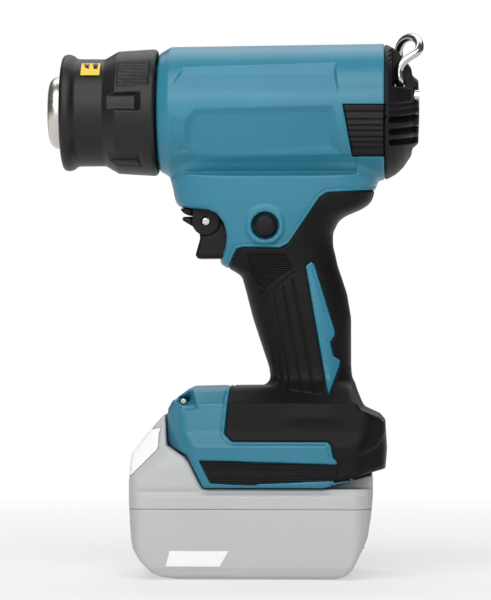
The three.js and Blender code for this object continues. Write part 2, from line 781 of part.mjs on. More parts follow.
function batteryCells() {
  return join(CELL_ROWS_Z.flatMap((z) => Array.from({ length: 5 }, (_, i) => {
    return rodY(CELL_RADIUS, -32.5, 32.5, FIRST_CELL_X + i * CELL_PITCH, z, 12);
  })));
}

function batteryBoard() {
  return box(-13, 26, -18, 18, 44, 45.4).add(box(4, 16, -12, 12, 45, 50));
}

function batteryLatch() {
  const side = [
    [-34.6, 73.5], [-36.6, 71.4], [-39.8, 68], [-46, 60.1], [-46, 56.5], [-34.6, 56.5],
  ];
  const finger = prismY(side, -LATCH_HALF_WIDTH, LATCH_HALF_WIDTH);
  const fingerGroove = box(-60, -38.4, -11, 11, 63.2, 65);
  return finger.subtract(fingerGroove.intersect(prismY(inset(side, -2), -12, 12)))
    .subtract(rodZ(3.6, 56, 57.6, -40.3, 0, 20));
}

function latchSpring() {
  const place = (along, a, b) => new THREE.Vector3(-40.3 + a, b, along);
  return wire(helix(place, 2.8, 4, 44.8, 56.8, 8), 0.4, 32, 2);
}

function batteryScrew([x, y]) {
  const top = BATTERY_SCREW_SEAT - FIT;
  return rodZ(2.5, top - 2, top, x, y, 10)
    .add(rodZ(1.2, top - 1, 37.5, x, y, 6))
    .subtract(rodZ(1.2, top - 3, top - 1.1, x, y, 6));
}

// ---------------------------------------------------------------- assembly

function geometryOf(manifold) {
  const mesh = manifold.getMesh();
  const geometry = new THREE.BufferGeometry();
  geometry.setAttribute('position', new THREE.BufferAttribute(mesh.vertProperties, 3));
  geometry.setIndex(new THREE.BufferAttribute(mesh.triVerts, 1));
  geometry.computeVertexNormals();
  return geometry;
}

const heatGun = new THREE.Group();

function add(name, manifold, material) {
  const mesh = new THREE.Mesh(geometryOf(manifold), material);
  mesh.name = name;
  heatGun.add(mesh);
}

for (const [name, side] of SIDES) {
  add(`housing_${name}`, half(housing, side), TEAL);
  add(`grip_${name}`, half(grips, side), BLACK_RUBBER);
  add(`inlet_grille_${name}`, inletGrille(side), BLACK_PLASTIC);
  add(`foot_insert_${name}`, footInsert(side), BLACK_PLASTIC);
  add(`rear_screw_${name}`, rearScrew(side), ZINC);
}
HOUSING_SCREWS.forEach((place, i) => add(`housing_screw_${i + 1}`, housingScrew(place), ZINC));

add('rear_cover', rearCover(), BLACK_PLASTIC);
add('hook', hook(), CHROME);

add('nozzle_tube', nozzleTube(), STEEL);
add('nozzle_shield', nozzleShield(), BLACK_PLASTIC);
add('shield_collar', shieldCollar(), ZINC);
add('caution_label', cautionLabel(), YELLOW);
add('heater_sleeve', heaterSleeve(), MICA);
add('heater_former', heaterFormer(), MICA);
add('heater_coil', heaterCoil(), HEAT_WIRE);
add('heater_base', heaterBase(), CERAMIC);
add('thermal_cutoff', thermalCutoff(), ZINC);

add('air_guide', airGuide(), BLACK_PLASTIC);
add('motor', motor(), ZINC);
add('motor_mount', motorMount(), BLACK_PLASTIC);
add('motor_shaft', rodX(1.5, 20.5, 66, 0, AXIS_Z, 12), STEEL);
add('impeller', impeller(), BLACK_PLASTIC);

add('trigger', trigger(), BLACK_PLASTIC);
add('trigger_bracket', triggerBracket(), BLACK_PLASTIC);
add('trigger_pin', triggerPin(), STEEL);
add('trigger_spring', triggerSpring(), STEEL);
add('switch_body', switchBody(), BLACK_PLASTIC);
add('switch_plunger', switchPlunger(), CERAMIC);
add('lock_button', lockButton(), BLACK_PLASTIC);

add('control_board', controlBoard(), BOARD_GREEN);
add('terminal_block', terminalBlock(), BLACK_PLASTIC);
add('terminal_plus', terminal(-1), BRASS);
add('terminal_minus', terminal(1), BRASS);

add('battery_case_lower', batteryCaseLower(), PALE_GREY);
add('battery_case_upper', batteryCaseUpper(), PALE_GREY);
add('battery_cells', batteryCells(), CELL_BLUE);
add('battery_board', batteryBoard(), BOARD_GREEN);
add('battery_latch', batteryLatch(), PALE_GREY);
add('latch_spring', latchSpring(), STEEL);
BATTERY_SCREWS.forEach((place, i) => add(`battery_screw_${i + 1}`, batteryScrew(place), ZINC));

export default heatGun;
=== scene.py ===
# A cordless heat gun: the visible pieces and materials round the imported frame. Outlines are in
# millimetres in the frame's axes: +Z up, the nozzle along -X, the left side facing -Y.
import math

import bmesh
import bpy
import numpy as np
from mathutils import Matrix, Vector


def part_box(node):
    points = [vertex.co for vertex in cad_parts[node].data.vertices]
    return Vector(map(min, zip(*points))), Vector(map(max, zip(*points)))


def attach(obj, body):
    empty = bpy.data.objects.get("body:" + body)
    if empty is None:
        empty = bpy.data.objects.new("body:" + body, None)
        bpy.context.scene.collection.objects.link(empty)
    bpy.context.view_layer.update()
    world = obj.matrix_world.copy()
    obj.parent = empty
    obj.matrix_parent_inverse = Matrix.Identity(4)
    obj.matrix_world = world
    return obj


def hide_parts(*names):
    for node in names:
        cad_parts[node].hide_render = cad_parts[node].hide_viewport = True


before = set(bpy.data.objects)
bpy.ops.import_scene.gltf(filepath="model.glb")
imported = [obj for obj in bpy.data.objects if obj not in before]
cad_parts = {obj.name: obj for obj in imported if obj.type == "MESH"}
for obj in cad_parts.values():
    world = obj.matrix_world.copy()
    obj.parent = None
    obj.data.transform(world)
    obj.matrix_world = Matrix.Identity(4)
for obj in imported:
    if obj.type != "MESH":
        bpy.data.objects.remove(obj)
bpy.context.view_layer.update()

import openvdb
from mathutils import Vector

MM = 0.001
SIDES = (("left", -1), ("right", 1))
FIELD_BAND = 3.0  # millimetres of a field that are kept on each side of its surface


def middle_mm(node):
    low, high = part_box(node)
    return (low + high) / (2 * MM)


def reach_mm(node):
    low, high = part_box(node)
    return low / MM, high / MM


AXIS_Z = middle_mm("nozzle_tube").z
BARREL_FRONT = reach_mm("housing_left")[0].x
BARREL_REAR = reach_mm("housing_left")[1].x
BUTTON = middle_mm("lock_button")
PIVOT = middle_mm("trigger_pin")
HALF_GAP = 0.15  # half the parting line between the housing's halves
CASE_HALF_GAP = 0.04
SKIN = 1.5  # thickness of the soft overmould
FIT = 0.3


# ---------------------------------------------------------------- distance fields

class Grid:
    """A block of sample points, in millimetres."""

    def __init__(self, low, high, step):
        self.low = np.array(low, np.float32)
        self.step = step
        counts = [int(math.ceil((b - a) / step)) + 1 for a, b in zip(low, high)]
        self.shape = tuple(counts)
        xs, ys, zs = (self.low[i] + step * np.arange(counts[i], dtype=np.float32) for i in range(3))
        self.x, self.y, self.z = xs[:, None, None], ys[None, :, None], zs[None, None, :]
        self.side_y = np.abs(self.y)

    def side(self, outline, soft=0.0):
        """Distance to an X, Z outline, negative inside, softened over a few millimetres."""
        plane = outline_distance(outline, self.x[:, :, 0], self.z[0])
        return blurred(plane, soft / self.step)[:, None, :]

    def end(self, outline, soft=0.0):
        plane = outline_distance(outline, self.y[0], self.z[0])
        return blurred(plane, soft / self.step)[None, :, :]

    def section(self, outline):
        """Distance to an outline of (distance from Y = 0, height above the axis)."""
        return outline_distance(outline, self.side_y[0], self.z[0] - AXIS_Z)[None, :, :]

    def plan(self, outline, soft=0.0):
        plane = outline_distance(outline, self.x[:, :, 0], self.y[:, :, 0])
        return blurred(plane, soft / self.step)[:, :, None]

    def radius(self, y=0.0, z=None):
        z = AXIS_Z if z is None else z
        return np.sqrt((self.y - y) ** 2 + (self.z - z) ** 2)

    def round_y(self, x, z, radius):
        return np.sqrt((self.x - x) ** 2 + (self.z - z) ** 2) - radius

    def round_z(self, x, y, radius):
        return np.sqrt((self.x - x) ** 2 + (self.y - y) ** 2) - radius

    def turned(self, profile, soft=0.0):
        """Distance to a closed X, radius outline turned about the barrel axis."""
        radii = np.arange(0, 64, self.step / 2, dtype=np.float32)
        plane = outline_distance(profile, self.x[:, :, 0], radii[None, :])
        mirror = np.concatenate([plane[:, :0:-1], plane], axis=1)
        plane = blurred(mirror, 2 * soft / self.step)[:, radii.size - 1:]
        around = self.radius()[0]
        return np.stack([np.interp(around, radii, row) for row in plane]).astype(np.float32)


def outline_distance(points, u, v):
    nearest = np.float32(1e9)
    inside = np.zeros(np.broadcast(u, v).shape, bool)
    for (x0, y0), (x1, y1) in zip(points, points[1:] + points[:1]):
        ex, ey = x1 - x0, y1 - y0
        along = np.clip(((u - x0) * ex + (v - y0) * ey) / (ex * ex + ey * ey), 0, 1)
        nearest = np.minimum(nearest, (u - x0 - ex * along) ** 2 + (v - y0 - ey * along) ** 2)
        if ey:
            spans = (y0 <= v) != (y1 <= v)
            inside ^= spans & (u < x0 + (v - y0) * ex / ey)
    return np.where(inside, -1, 1).astype(np.float32) * np.sqrt(nearest)


def blurred(values, sigma):
    if sigma < 0.4:
        return values
    reach = int(3 * sigma) + 1
    weights = np.exp(-0.5 * (np.arange(-reach, reach + 1) / sigma) ** 2)
    weights /= weights.sum()
    for axis in range(values.ndim):
        if values.shape[axis] > 1:
            padded = np.moveaxis(np.pad(values, [
                (reach, reach) if i == axis else (0, 0) for i in range(values.ndim)
            ], mode="edge"), axis, -1)
            rows = np.apply_along_axis(np.convolve, -1, padded, weights, "valid")
            values = np.moveaxis(rows, -1, axis)
    return values.astype(np.float32)


def both(a, b, k=0.0):
    """The overlap of two fields, with the corner rounded over k."""
    if not k:
        return np.maximum(a, b)
    h = np.clip(k - np.abs(a - b), 0, None) / k
    return np.maximum(a, b) + h * h * k * 0.25


def either(a, b, k=0.0):
    return -both(-a, -b, k)


def ramp(distance, width):
    """1 inside an outline, 0 outside, smooth across its edge."""
    t = np.clip(0.5 - distance / width, 0, 1)
    return t * t * (3 - 2 * t)


def slab(value, low, high):
    return np.maximum(low - value, value - high)


# ---------------------------------------------------------------- meshes

def add_object(name, mesh, body, material, replaces=()):
    mesh.name = name
    piece = bpy.data.objects.new(name, mesh)
    bpy.context.scene.collection.objects.link(piece)
    mesh.materials.clear()
    mesh.materials.append(material)
    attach(piece, body)
    if replaces:
        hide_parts(*replaces)


def add_field(name, grid, field, body, material, replaces=()):
    """Adds the surface where a field crosses zero, and returns its mesh."""
    mesh = mesh_from(name, grid, field)
    add_object(name, mesh, body, material, replaces)
    return mesh


def smooth(mesh):
    mesh.polygons.foreach_set("use_smooth", np.ones(len(mesh.polygons), bool))
    mesh.update()
    return mesh


def mesh_from(name, grid, field):
    """The surface where a field crosses zero."""
    volume = openvdb.FloatGrid(FIELD_BAND)
    full = np.clip(np.broadcast_to(field, grid.shape), -FIELD_BAND, FIELD_BAND).astype(np.float32)
    volume.copyFromArray(np.ascontiguousarray(full))
    points, quads = volume.convertToQuads(0.0)
    points = (points * grid.step + grid.low).astype(np.float64)
    corners = points[quads]
    flat = np.cross(corners[:, 2] - corners[:, 0], corners[:, 3] - corners[:, 1])
    if (corners.mean(1) * flat).sum() < 0:
        quads = quads[:, ::-1]
    mesh = bpy.data.meshes.new(name)
    mesh.vertices.add(len(points))
    mesh.vertices.foreach_set("co", (points * MM).ravel())
    mesh.loops.add(quads.size)
    mesh.loops.foreach_set("vertex_index", quads.ravel().astype(np.int32))
    mesh.polygons.add(len(quads))
    mesh.polygons.foreach_set("loop_start", np.arange(0, quads.size, 4, dtype=np.int32))
    mesh.update(calc_edges=True)
    mesh.validate()
    return smooth(mesh)


def mirrored(mesh):
    """A copy of a mesh on the other side of Y = 0."""
    copy = mesh.copy()
    places = np.empty(len(copy.vertices) * 3, np.float32)
    copy.vertices.foreach_get("co", places)
    places[1::3] *= -1
    copy.vertices.foreach_set("co", places)
    copy.flip_normals()
    return smooth(copy)


def finished(work, sharp_degrees):
    """A mesh from built faces, smooth apart from its sharp edges."""
    bmesh.ops.recalc_face_normals(work, faces=work.faces)
    mesh = bpy.data.meshes.new("mesh")
    work.to_mesh(mesh)
    work.free()
    smooth(mesh)
    mark_sharp(mesh, sharp_degrees)
    return mesh


def revolved(profile, centre, axis="x", around=96):
    """A closed profile of (along, radius) pairs turned about an axis through centre."""
    work = bmesh.new()
    rings = []
    for step in range(around):
        turn = 2 * math.pi * step / around
        ring = []
        for along, radius in profile:
            a, b = radius * math.cos(turn), radius * math.sin(turn)
            place = {"x": (along, a, b), "y": (a, along, b), "z": (a, b, along)}[axis]
            ring.append(work.verts.new((Vector(place) + Vector(centre)) * MM))
        rings.append(ring)
    closed = profile[0][1] > 0
    count = len(profile) if closed else len(profile) - 1
    for step in range(around):
        here, there = rings[step], rings[(step + 1) % around]
        for i in range(count):
            j = (i + 1) % len(profile)
            work.faces.new((here[i], here[j], there[j], there[i]))
    bmesh.ops.remove_doubles(work, verts=work.verts, dist=1e-7)
    bmesh.ops.dissolve_degenerate(work, edges=work.edges, dist=1e-8)
    return finished(work, 32)


def mark_sharp(mesh, degrees):
    work = bmesh.new()
    work.from_mesh(mesh)
    for edge in work.edges:
        edge.smooth = edge.calc_face_angle(0) < math.radians(degrees)
    work.to_mesh(mesh)
    work.free()


def arc(centre, radius, start, end, steps):
    """Points on a circle in a profile, from one angle in degrees to another."""
    angles = [math.radians(start + (end - start) * i / steps) for i in range(steps + 1)]
    return [(centre[0] + radius * math.cos(a), centre[1] + radius * math.sin(a)) for a in angles]


# ---------------------------------------------------------------- materials

class Nodes:
    """A small helper round a material's node tree."""

    def __init__(self, name):
        self.material = bpy.data.materials.new(name)
        self.material.use_nodes = True
        self.tree = self.material.node_tree
        self.shader = self.tree.nodes["Principled BSDF"]
        self.place = self.add("ShaderNodeTexCoord").outputs["Object"]

    def add(self, kind, **settings):
        node = self.tree.nodes.new(kind)
        for key, value in settings.items():
            setattr(node, key, value)
        return node

    def link(self, source, target):
        self.tree.links.new(source, target)

    def noise(self, per_metre, detail=2.0, rough=0.5, stretch=None):
        node = self.add("ShaderNodeTexNoise")
        node.inputs["Scale"].default_value = per_metre
        node.inputs["Detail"].default_value = detail
        node.inputs["Roughness"].default_value = rough
        if stretch:
            mapping = self.add("ShaderNodeMapping")
            mapping.inputs["Scale"].default_value = stretch
            self.link(self.place, mapping.inputs["Vector"])
            self.link(mapping.outputs["Vector"], node.inputs["Vector"])
        else:
            self.link(self.place, node.inputs["Vector"])
        return node.outputs["Fac"]

    def spread(self, value, low, high, start=0.3, end=0.7):
        node = self.add("ShaderNodeMapRange")
        node.inputs["From Min"].default_value = start
        node.inputs["From Max"].default_value = end
        node.inputs["To Min"].default_value = low
        node.inputs["To Max"].default_value = high
        self.link(value, node.inputs["Value"])
        return node.outputs["Result"]

    def tint(self, value, first, second):
        node = self.add("ShaderNodeMix", data_type="RGBA")
        colour_a, colour_b, colour_result = node.inputs[6], node.inputs[7], node.outputs[2]
        self.link(value, node.inputs["Factor"])
        colour_a.default_value = (*first, 1)
        colour_b.default_value = (*second, 1)
        return colour_result

    def bump(self, height, strength, distance, after=None):
        node = self.add("ShaderNodeBump")
        node.inputs["Strength"].default_value = strength
        node.inputs["Distance"].default_value = distance
        self.link(height, node.inputs["Height"])
        if after:
            self.link(after, node.inputs["Normal"])
        return node.outputs["Normal"]


def shade(color, factor):
    return tuple(min(1.0, channel * factor) for channel in color)


def moulded(name, color, rough, grain=1500, depth=0.00003, specular=0.5, sheen=0.0, vary=0.07):
    """Moulded plastic or rubber: fine spark-eroded grain, soft colour and gloss variation."""
    nodes = Nodes(name)
    broad = nodes.noise(22, 3)
    fine = nodes.noise(grain, 3, 0.6)
    tint = nodes.tint(nodes.spread(broad, 0, 1), shade(color, 1 - vary), shade(color, 1 + vary))
    nodes.link(tint, nodes.shader.inputs["Base Color"])
    gloss = nodes.spread(nodes.noise(grain * 0.4, 2), rough - 0.05, rough + 0.06)
    nodes.link(gloss, nodes.shader.inputs["Roughness"])
    smear = nodes.bump(nodes.noise(60, 2), 0.05, 0.0004)
    nodes.link(nodes.bump(fine, 0.35, depth, smear), nodes.shader.inputs["Normal"])
    nodes.shader.inputs["Specular IOR Level"].default_value = specular
    nodes.shader.inputs["Sheen Weight"].default_value = sheen
    nodes.shader.inputs["Sheen Roughness"].default_value = 0.35
    return nodes.material


def brushed(name, color, rough, stretch=(1, 1, 1)):
    """Metal with fine turning or drawing lines and a faint cloudy gloss."""
    nodes = Nodes(name)
    lines = nodes.noise(900, 3, 0.6, stretch)
    cloud = nodes.noise(45, 3)
    tint = nodes.tint(nodes.spread(cloud, 0, 1), shade(color, 0.88), shade(color, 1.05))
    nodes.link(tint, nodes.shader.inputs["Base Color"])
    nodes.link(nodes.spread(lines, rough * 0.75, rough * 1.3), nodes.shader.inputs["Roughness"])
    nodes.link(nodes.bump(lines, 0.15, 0.00002), nodes.shader.inputs["Normal"])
    nodes.shader.inputs["Metallic"].default_value = 1.0
    return nodes.material


TEAL = moulded("teal_plastic", (0.022, 0.172, 0.255), 0.33, grain=2200, depth=0.00002,
               specular=0.4)
RUBBER = moulded("grip_rubber", (0.004, 0.004, 0.0045), 0.5, grain=1500, depth=0.00004,
                 specular=0.15, sheen=0.06)
BLACK = moulded("black_nylon", (0.006, 0.0058, 0.0072), 0.46, grain=1800, depth=0.00003,
                specular=0.18)
SHIELD_BLACK = moulded("shield_nylon", (0.0052, 0.005, 0.0062), 0.42, grain=1800,
                       depth=0.00002, specular=0.36)
STEEL = brushed("nozzle_steel", (0.6, 0.57, 0.53), 0.3, (0.15, 1, 1))
CHROME = brushed("chrome_wire", (0.5, 0.48, 0.47), 0.14)
PLATED = brushed("plated_steel", (0.55, 0.56, 0.57), 0.32)
DARK_WIRE = brushed("heat_wire", (0.3, 0.27, 0.24), 0.45)
BRASS = brushed("brass", (0.66, 0.48, 0.2), 0.3)
CERAMIC = moulded("ceramic", (0.72, 0.7, 0.64), 0.7)
MICA = moulded("mica", (0.5, 0.43, 0.3), 0.6, grain=500, depth=0.00006)
BOARD = moulded("board_green", (0.02, 0.13, 0.06), 0.4, grain=900)
WRAP = moulded("cell_wrap", (0.05, 0.16, 0.34), 0.35)
YELLOW = moulded("label_yellow", (0.72, 0.5, 0.04), 0.4, grain=700, depth=0.00001, vary=0.03)
GREY = moulded("battery_grey", (0.45, 0.455, 0.46), 0.5, grain=1700, depth=0.00002, vary=0.03)
WHITE = moulded("battery_white", (0.82, 0.83, 0.84), 0.4, vary=0.02)


# ---------------------------------------------------------------- housing and grips

# Z, front X, rear X, half width and corner exponent up the handle and body
BODY = np.array([
    [75, 12, 61, 34.5, 2.4], [78, 13.5, 59, 32.5, 2.4], [81, 14.6, 57.6, 28.5, 2.45],
    [84, 15.3, 56.5, 24, 2.5], [88, 16, 55.2, 20, 2.55], [92.1, 16.2, 54.4, 17.6, 2.6],
    [97.7, 15.3, 53.9, 16.8, 2.6], [109, 11.5, 53.9, 17.2, 2.6], [120.3, 7.8, 53.9, 17.8, 2.6],
    [131.6, 4.9, 52, 17.8, 2.6], [140.1, 2.6, 49.2, 17.4, 2.6], [142.9, -2.1, 48.2, 17.5, 2.7],
    [145.7, -8.2, 47.3, 17.6, 2.8], [148.6, -9, 46.8, 18, 2.8], [154, -13, 45.4, 18.6, 2.9],
    [160, -18, 45.3, 19.6, 3], [165.5, -22, 47.8, 20.4, 3.1], [168.3, -24, 51, 20.8, 3.2],
    [171.1, -26.1, 58.6, 21, 3.3], [174, -28, 62.8, 21.3, 3.4], [176.8, -28.9, 64.2, 21.5, 3.5],
    [180, -29.4, 64.9, 21.7, 3.6], [185.3, -30.8, 67, 22, 3.6], [205, -31, 67.5, 22.5, 3.6],
    [210, -31.5, 68, 22.5, 3.6],
])
FOOT_SIDE = [
    (-31.3, 74), (-30.8, 63), (-28.7, 60.8), (-20.9, 57.1), (-13.6, 42.5), (42, 42.5),
    (56.5, 46.6), (70, 50.7), (70.8, 59), (69.9, 72), (67.3, 74.9), (58.6, 78.6), (56, 84),
    (54, 88.6), (16, 88.8), (-4, 88.5), (-20.5, 88), (-28.6, 82), (-30.8, 78.3),
]
FOOT_END = [
    (-38.9, 40), (-39.5, 61.3), (-36.2, 68.2), (-34.6, 81.1), (-20, 89.6),
    (20, 89.6), (34.6, 81.1), (36.2, 68.2), (39.5, 61.3), (38.9, 40),
]
NOTCH_SCREW = (-23.3, 82)
FOOT_PLAN = [
    (-32.8, -21.6), (-25, -34), (-16.7, -41), (56.5, -41), (72.3, -25.5),
    (72.3, 25.5), (56.5, 41), (-16.7, 41), (-25, 34), (-32.8, 21.6),
]
TRIGGER_OPENING = [
    (-60, 172), (-26.1, 172.1), (-12.7, 171), (-8.5, 169.2), (-5.1, 164.4), (-3.8, 158.9),
    (-4.7, 152.8), (-7.5, 147.9), (-7.8, 145.1), (-60, 145.1),
]
GRIP_AREA = [
    (-12, 143.2), (-3.4, 143.4), (-0.6, 149.6), (1, 152.6), (4.4, 153.4), (21, 152.9), (25, 155),
    (39.6, 176.4), (43, 178.6), (60.4, 179.6), (80, 182), (80, 49), (58, 47.3), (46.5, 45.2),
    (48.2, 54.8), (46.2, 56.6), (45.1, 62.5), (43.5, 63.9), (-0.3, 63.9), (-3.8, 67.3),
    (-1.7, 88.5), (-12, 95),
]
LOUVRES = [215.9, 212.2, 209.5, 206.8, 204.2, 201.7, 199.3, 196.9]  # Z of their edges
SIDE_VENT = [(50.6, 218.7), (69.3, 218.7), (69.3, 195.5), (54.8, 195.5)]
FOOT_PANEL = [(-15.1, 55), (48.3, 53.2), (46.9, 46.3), (11.3, 44.6), (10.1, 43.9), (-10.1, 44.9)]
INLAY = [
    (32.8, 144.7), (35.5, 146.9), (37, 145.6), (46.6, 114.4), (46.7, 112.5), (44.5, 109.2),
    (45.8, 103), (49.2, 100.9), (48.6, 97.8), (44, 85.1), (42.7, 88), (33.2, 142.7),
]
CHANNEL = [(-29.7, 58), (-29.7, 49.4), (-24.7, 49.4), (-24.7, 30), (24.7, 30), (24.7, 49.4),
           (29.7, 49.4), (29.7, 58)]
RIB_TRIANGLE = [(5.3, 150.2), (23.4, 150.2), (26.7, 143.8), (13, 133.9), (9.4, 136.1)]
RIB_PLATE = [(6, 149.8), (23.1, 149.8), (26, 144), (13, 134.6), (10, 136.3)]
FOOT_SEAM = [(73, 74), (66, 62), (56, 57.6), (47, 54.6), (47, 40), (80, 40), (80, 74)]
PALM_GROOVES = [
    [(12.5, 128.5), (16.1, 111.7), (19.2, 97.3), (21.8, 89)],
    [(17.4, 131.9), (21.3, 111.7), (25.2, 87.4)],
    [(22.3, 135.5), (26.4, 112.8), (31.1, 85.9)],
    [(26.7, 138.9), (32.6, 110.2), (36.8, 85.9)],
    [(12.5, 128.8), (27.5, 141.4)],
    [(11.5, 131.9), (26.7, 144)],
    [(21.8, 89), (24.5, 87), (32, 85.9), (41, 84.8)],
]
HOUSING_SCREWS = [f"housing_screw_{i}" for i in range(1, 9)]


def slanted(grid, outline, barrel, slope):
    """Distance to a side outline whose walls lean inwards by slope below the surface."""
    return (grid.side(outline) - slope * barrel) / np.sqrt(1 + slope * slope)


def body_field(grid):
    """The lofted handle and body."""
    z = grid.z[0, 0]
    front, rear, half, exponent = (
        blurred(np.interp(z, BODY[:, 0], BODY[:, i]).astype(np.float32), 1.1 / grid.step)
        for i in range(1, 5)
    )
    middle, reach = (front + rear) / 2, (rear - front) / 2
    u = np.abs(grid.x - middle) / reach
    v = grid.side_y / half
    with np.errstate(divide="ignore", invalid="ignore"):
        up, vp = u ** (exponent - 1), v ** (exponent - 1)
        q = (up * u + vp * v) ** (1 / exponent)
        slope = np.sqrt((up / reach) ** 2 + (vp / half) ** 2)
        slope = slope / np.maximum(q, 1e-3) ** (exponent - 1)
    field = (q - 1) / np.maximum(slope, 1 / 40)
    return both(field, slab(grid.z, 76, 208), 2)


def foot_field(grid):
    """The shoe that the battery slides into, with its creased sides."""
    side = grid.side(FOOT_SIDE, 0.35)
    end = grid.end(FOOT_END, 0.3)
    plan = grid.plan(FOOT_PLAN, 0.6)
    foot = both(both(side, end, 2.2), plan, 2.4)
    dent = grid.side([(-19.1, 87.6), (-15.4, 78.1), (-24.9, 77.4), (-27.5, 83)])
    foot = foot + 4.4 * np.clip(-dent / 3.6, 0, 1) * ramp(-grid.side_y + 14, 2)
    screw_hole = both(grid.round_y(*NOTCH_SCREW, 1.7), 26.5 - grid.side_y)
    return both(foot, -screw_hole, 0.5)


def barrel_field(grid):
    """The barrel with the facets and channels along its sides."""
    radius = np.interp(grid.x, [BARREL_FRONT, -35.2, -30.4, BARREL_REAR], [27.4, 28.1, 30.8, 32])
    barrel = both(grid.radius() - radius, slab(grid.x, BARREL_FRONT, BARREL_REAR), 0.8)
    upper = grid.section([(22.3, 24), (25, 16.6), (33.3, 3.1), (50, 3.1), (50, 24)])
    ends = slanted(grid, [(-21, 241), (46.7, 241), (48.9, 220), (-33.4, 220)], barrel, 0.7)
    cut = np.maximum(upper, ends)
    panel = [(-23.3, 210.5), (-18.3, 216.9), (46.2, 218.4), (50.3, 195.7), (-17, 195.6),
             (-23.3, 200.4)]
    tilt = math.radians(-19)
    height = grid.z - AXIS_Z
    floor = 28.5 - grid.side_y * math.cos(tilt) - height * math.sin(tilt)
    lean = np.interp(height, [-20, -12], [2.6, 1.4])
    cut = np.minimum(cut, np.maximum(floor, slanted(grid, panel, barrel, lean)))
    facet = grid.side([(-29.6, 214.5), (-23, 210.4), (-23.2, 200.2), (-28, 197)])
    barrel = barrel + 0.5 * np.clip(-facet / 1.2, 0, 1)
    corner = grid.side([(-28, 197.2), (-24.3, 201.6), (-18.2, 197.2)])
    barrel = barrel + 0.9 * np.clip(-corner / 1.6, 0, 1)
    return np.maximum(barrel, -cut)


def under_channel(grid):
    """The dark channel where the barrel meets the body."""
    section = grid.section([(22.9, -21.3), (19.4, -24.4), (16.4, -28.9), (22, -30.7), (50, -33),
                            (50, -21.3)])
    ends = grid.side([(-28.5, 193), (-20, 198), (56.6, 198), (56.6, 180), (-20, 180)])
    return both(section, ends, 0.5)


def hollows(grid):
    """The spaces inside both housing halves."""
    spaces = [
        np.maximum(grid.radius() - 27.2, slab(grid.x, -33, BARREL_REAR + 5)),
        np.maximum(grid.radius() - 23, slab(grid.x, BARREL_FRONT - 5, -30)),
        np.maximum(grid.end(CHANNEL), slab(grid.x, -45, 57)),
        np.maximum(slab(grid.x, 50, 64.6), np.maximum(grid.side_y - 24.7, grid.z - 48.5)),
        np.maximum(slab(grid.x, -30, -5), np.maximum(grid.side_y - 12.6, slab(grid.z, 160, 176))),
        np.maximum(slab(grid.x, -13, 4.4),
                   np.maximum(grid.side_y - 12.8, slab(grid.z, 147.7, 168.6))),
        np.maximum(slab(grid.x, 28, 55), np.maximum(grid.side_y - 21, slab(grid.z, 57, 72))),
    ]
    return np.minimum.reduce([np.broadcast_to(s, grid.shape) for s in spaces])


def outer_field(grid):
    """The whole outside of the housing and grips, before they are parted."""
    outside = either(barrel_field(grid), body_field(grid), 1.6)
    outside = both(outside, -under_channel(grid), 0.6)
    outside = either(outside, foot_field(grid), 6)
    outside = both(outside, -grid.side(TRIGGER_OPENING, 0.4), 2.2)
    button = grid.round_y(BUTTON.x, BUTTON.z, 0)
    ring = np.sqrt((button - 7.6) ** 2 + (grid.side_y - 20.2) ** 2) - 1.35
    boss = both(button - 7.9, grid.side_y - 20.6, 0.8)
    outside = outside - 0.4 * ramp(button - 9.6, 0.5) * ramp(14 - grid.side_y, 2)
    outside = either(either(outside, boss, 1.5), ring, 0.5)
    return np.maximum(outside, -np.maximum(button - 6.3, 14 - grid.side_y))


def screw_bores(grid):
    """The stepped holes for the housing's screws."""
    bores = []
    for name in HOUSING_SCREWS:
        centre, top = middle_mm(name), reach_mm(name)[1].y
        recess = np.maximum(grid.round_y(centre.x, centre.z, 3.6), top - 2.9 - grid.side_y)
        bores.append(np.minimum(recess, grid.round_y(centre.x, centre.z, 1.9)))
    return np.minimum.reduce([np.broadcast_to(b, grid.shape) for b in bores])


def groove(outside, half_width=HALF_GAP):
    """Half the gap between two mouldings: open at the surface, closed deeper in the wall."""
    return half_width * np.clip((outside + 0.9) / 0.5, 0, 1)


def make_housing():
    """The teal clamshell halves, with the inlay that shows through the grip."""
    grid = Grid((BARREL_FRONT - 1.5, -40.5, 41.5), (71.7, 0.9, 250), 0.55)
    outside = outer_field(grid)
    area = grid.side(GRIP_AREA, 0.35)
    inlay = grid.side(INLAY, 0.2)
    edge = np.abs(area - 1.5) - 0.3
    outside = outside + 0.6 * ramp(edge, 0.5) * ramp(8 - grid.side_y, 2)
    covered = np.maximum(area - 0.25, -(outside + SKIN + FIT))
    shell = both(outside, -covered, 0.5)
    shell = np.maximum(shell, -np.maximum(hollows(grid), outside + 1))
    handle = np.maximum(outside + 4.2, slab(grid.z, 84, 190))
    shell = np.maximum(shell, -np.maximum(handle, grid.side_y - 12.5))
    vent = np.maximum(grid.side(SIDE_VENT, 0.2) - 0.25, 18 - grid.side_y)
    insert = np.maximum(grid.side(FOOT_PANEL, 0.2) - 0.25, 38.1 - grid.side_y)
    shell = both(shell, -np.minimum(vent, insert), 0.4)
    sunk = 0.25 + 0.35 * ramp(np.abs(inlay + 1.3) - 0.2, 0.6)
    raised = both(np.maximum(outside + sunk, -(outside + SKIN + 2)), inlay + 0.1, 0.7)
    shell = np.minimum(shell, raised)
    left = np.maximum(shell, grid.y + groove(outside))
    add_field("housing_left_shell", grid, left, "housing", TEAL, ["housing_left"])
    mesh = mesh_from("bored_half", grid, np.maximum(left, -screw_bores(grid)))
    add_object("housing_right_shell", mirrored(mesh), "housing", TEAL, ["housing_right"])


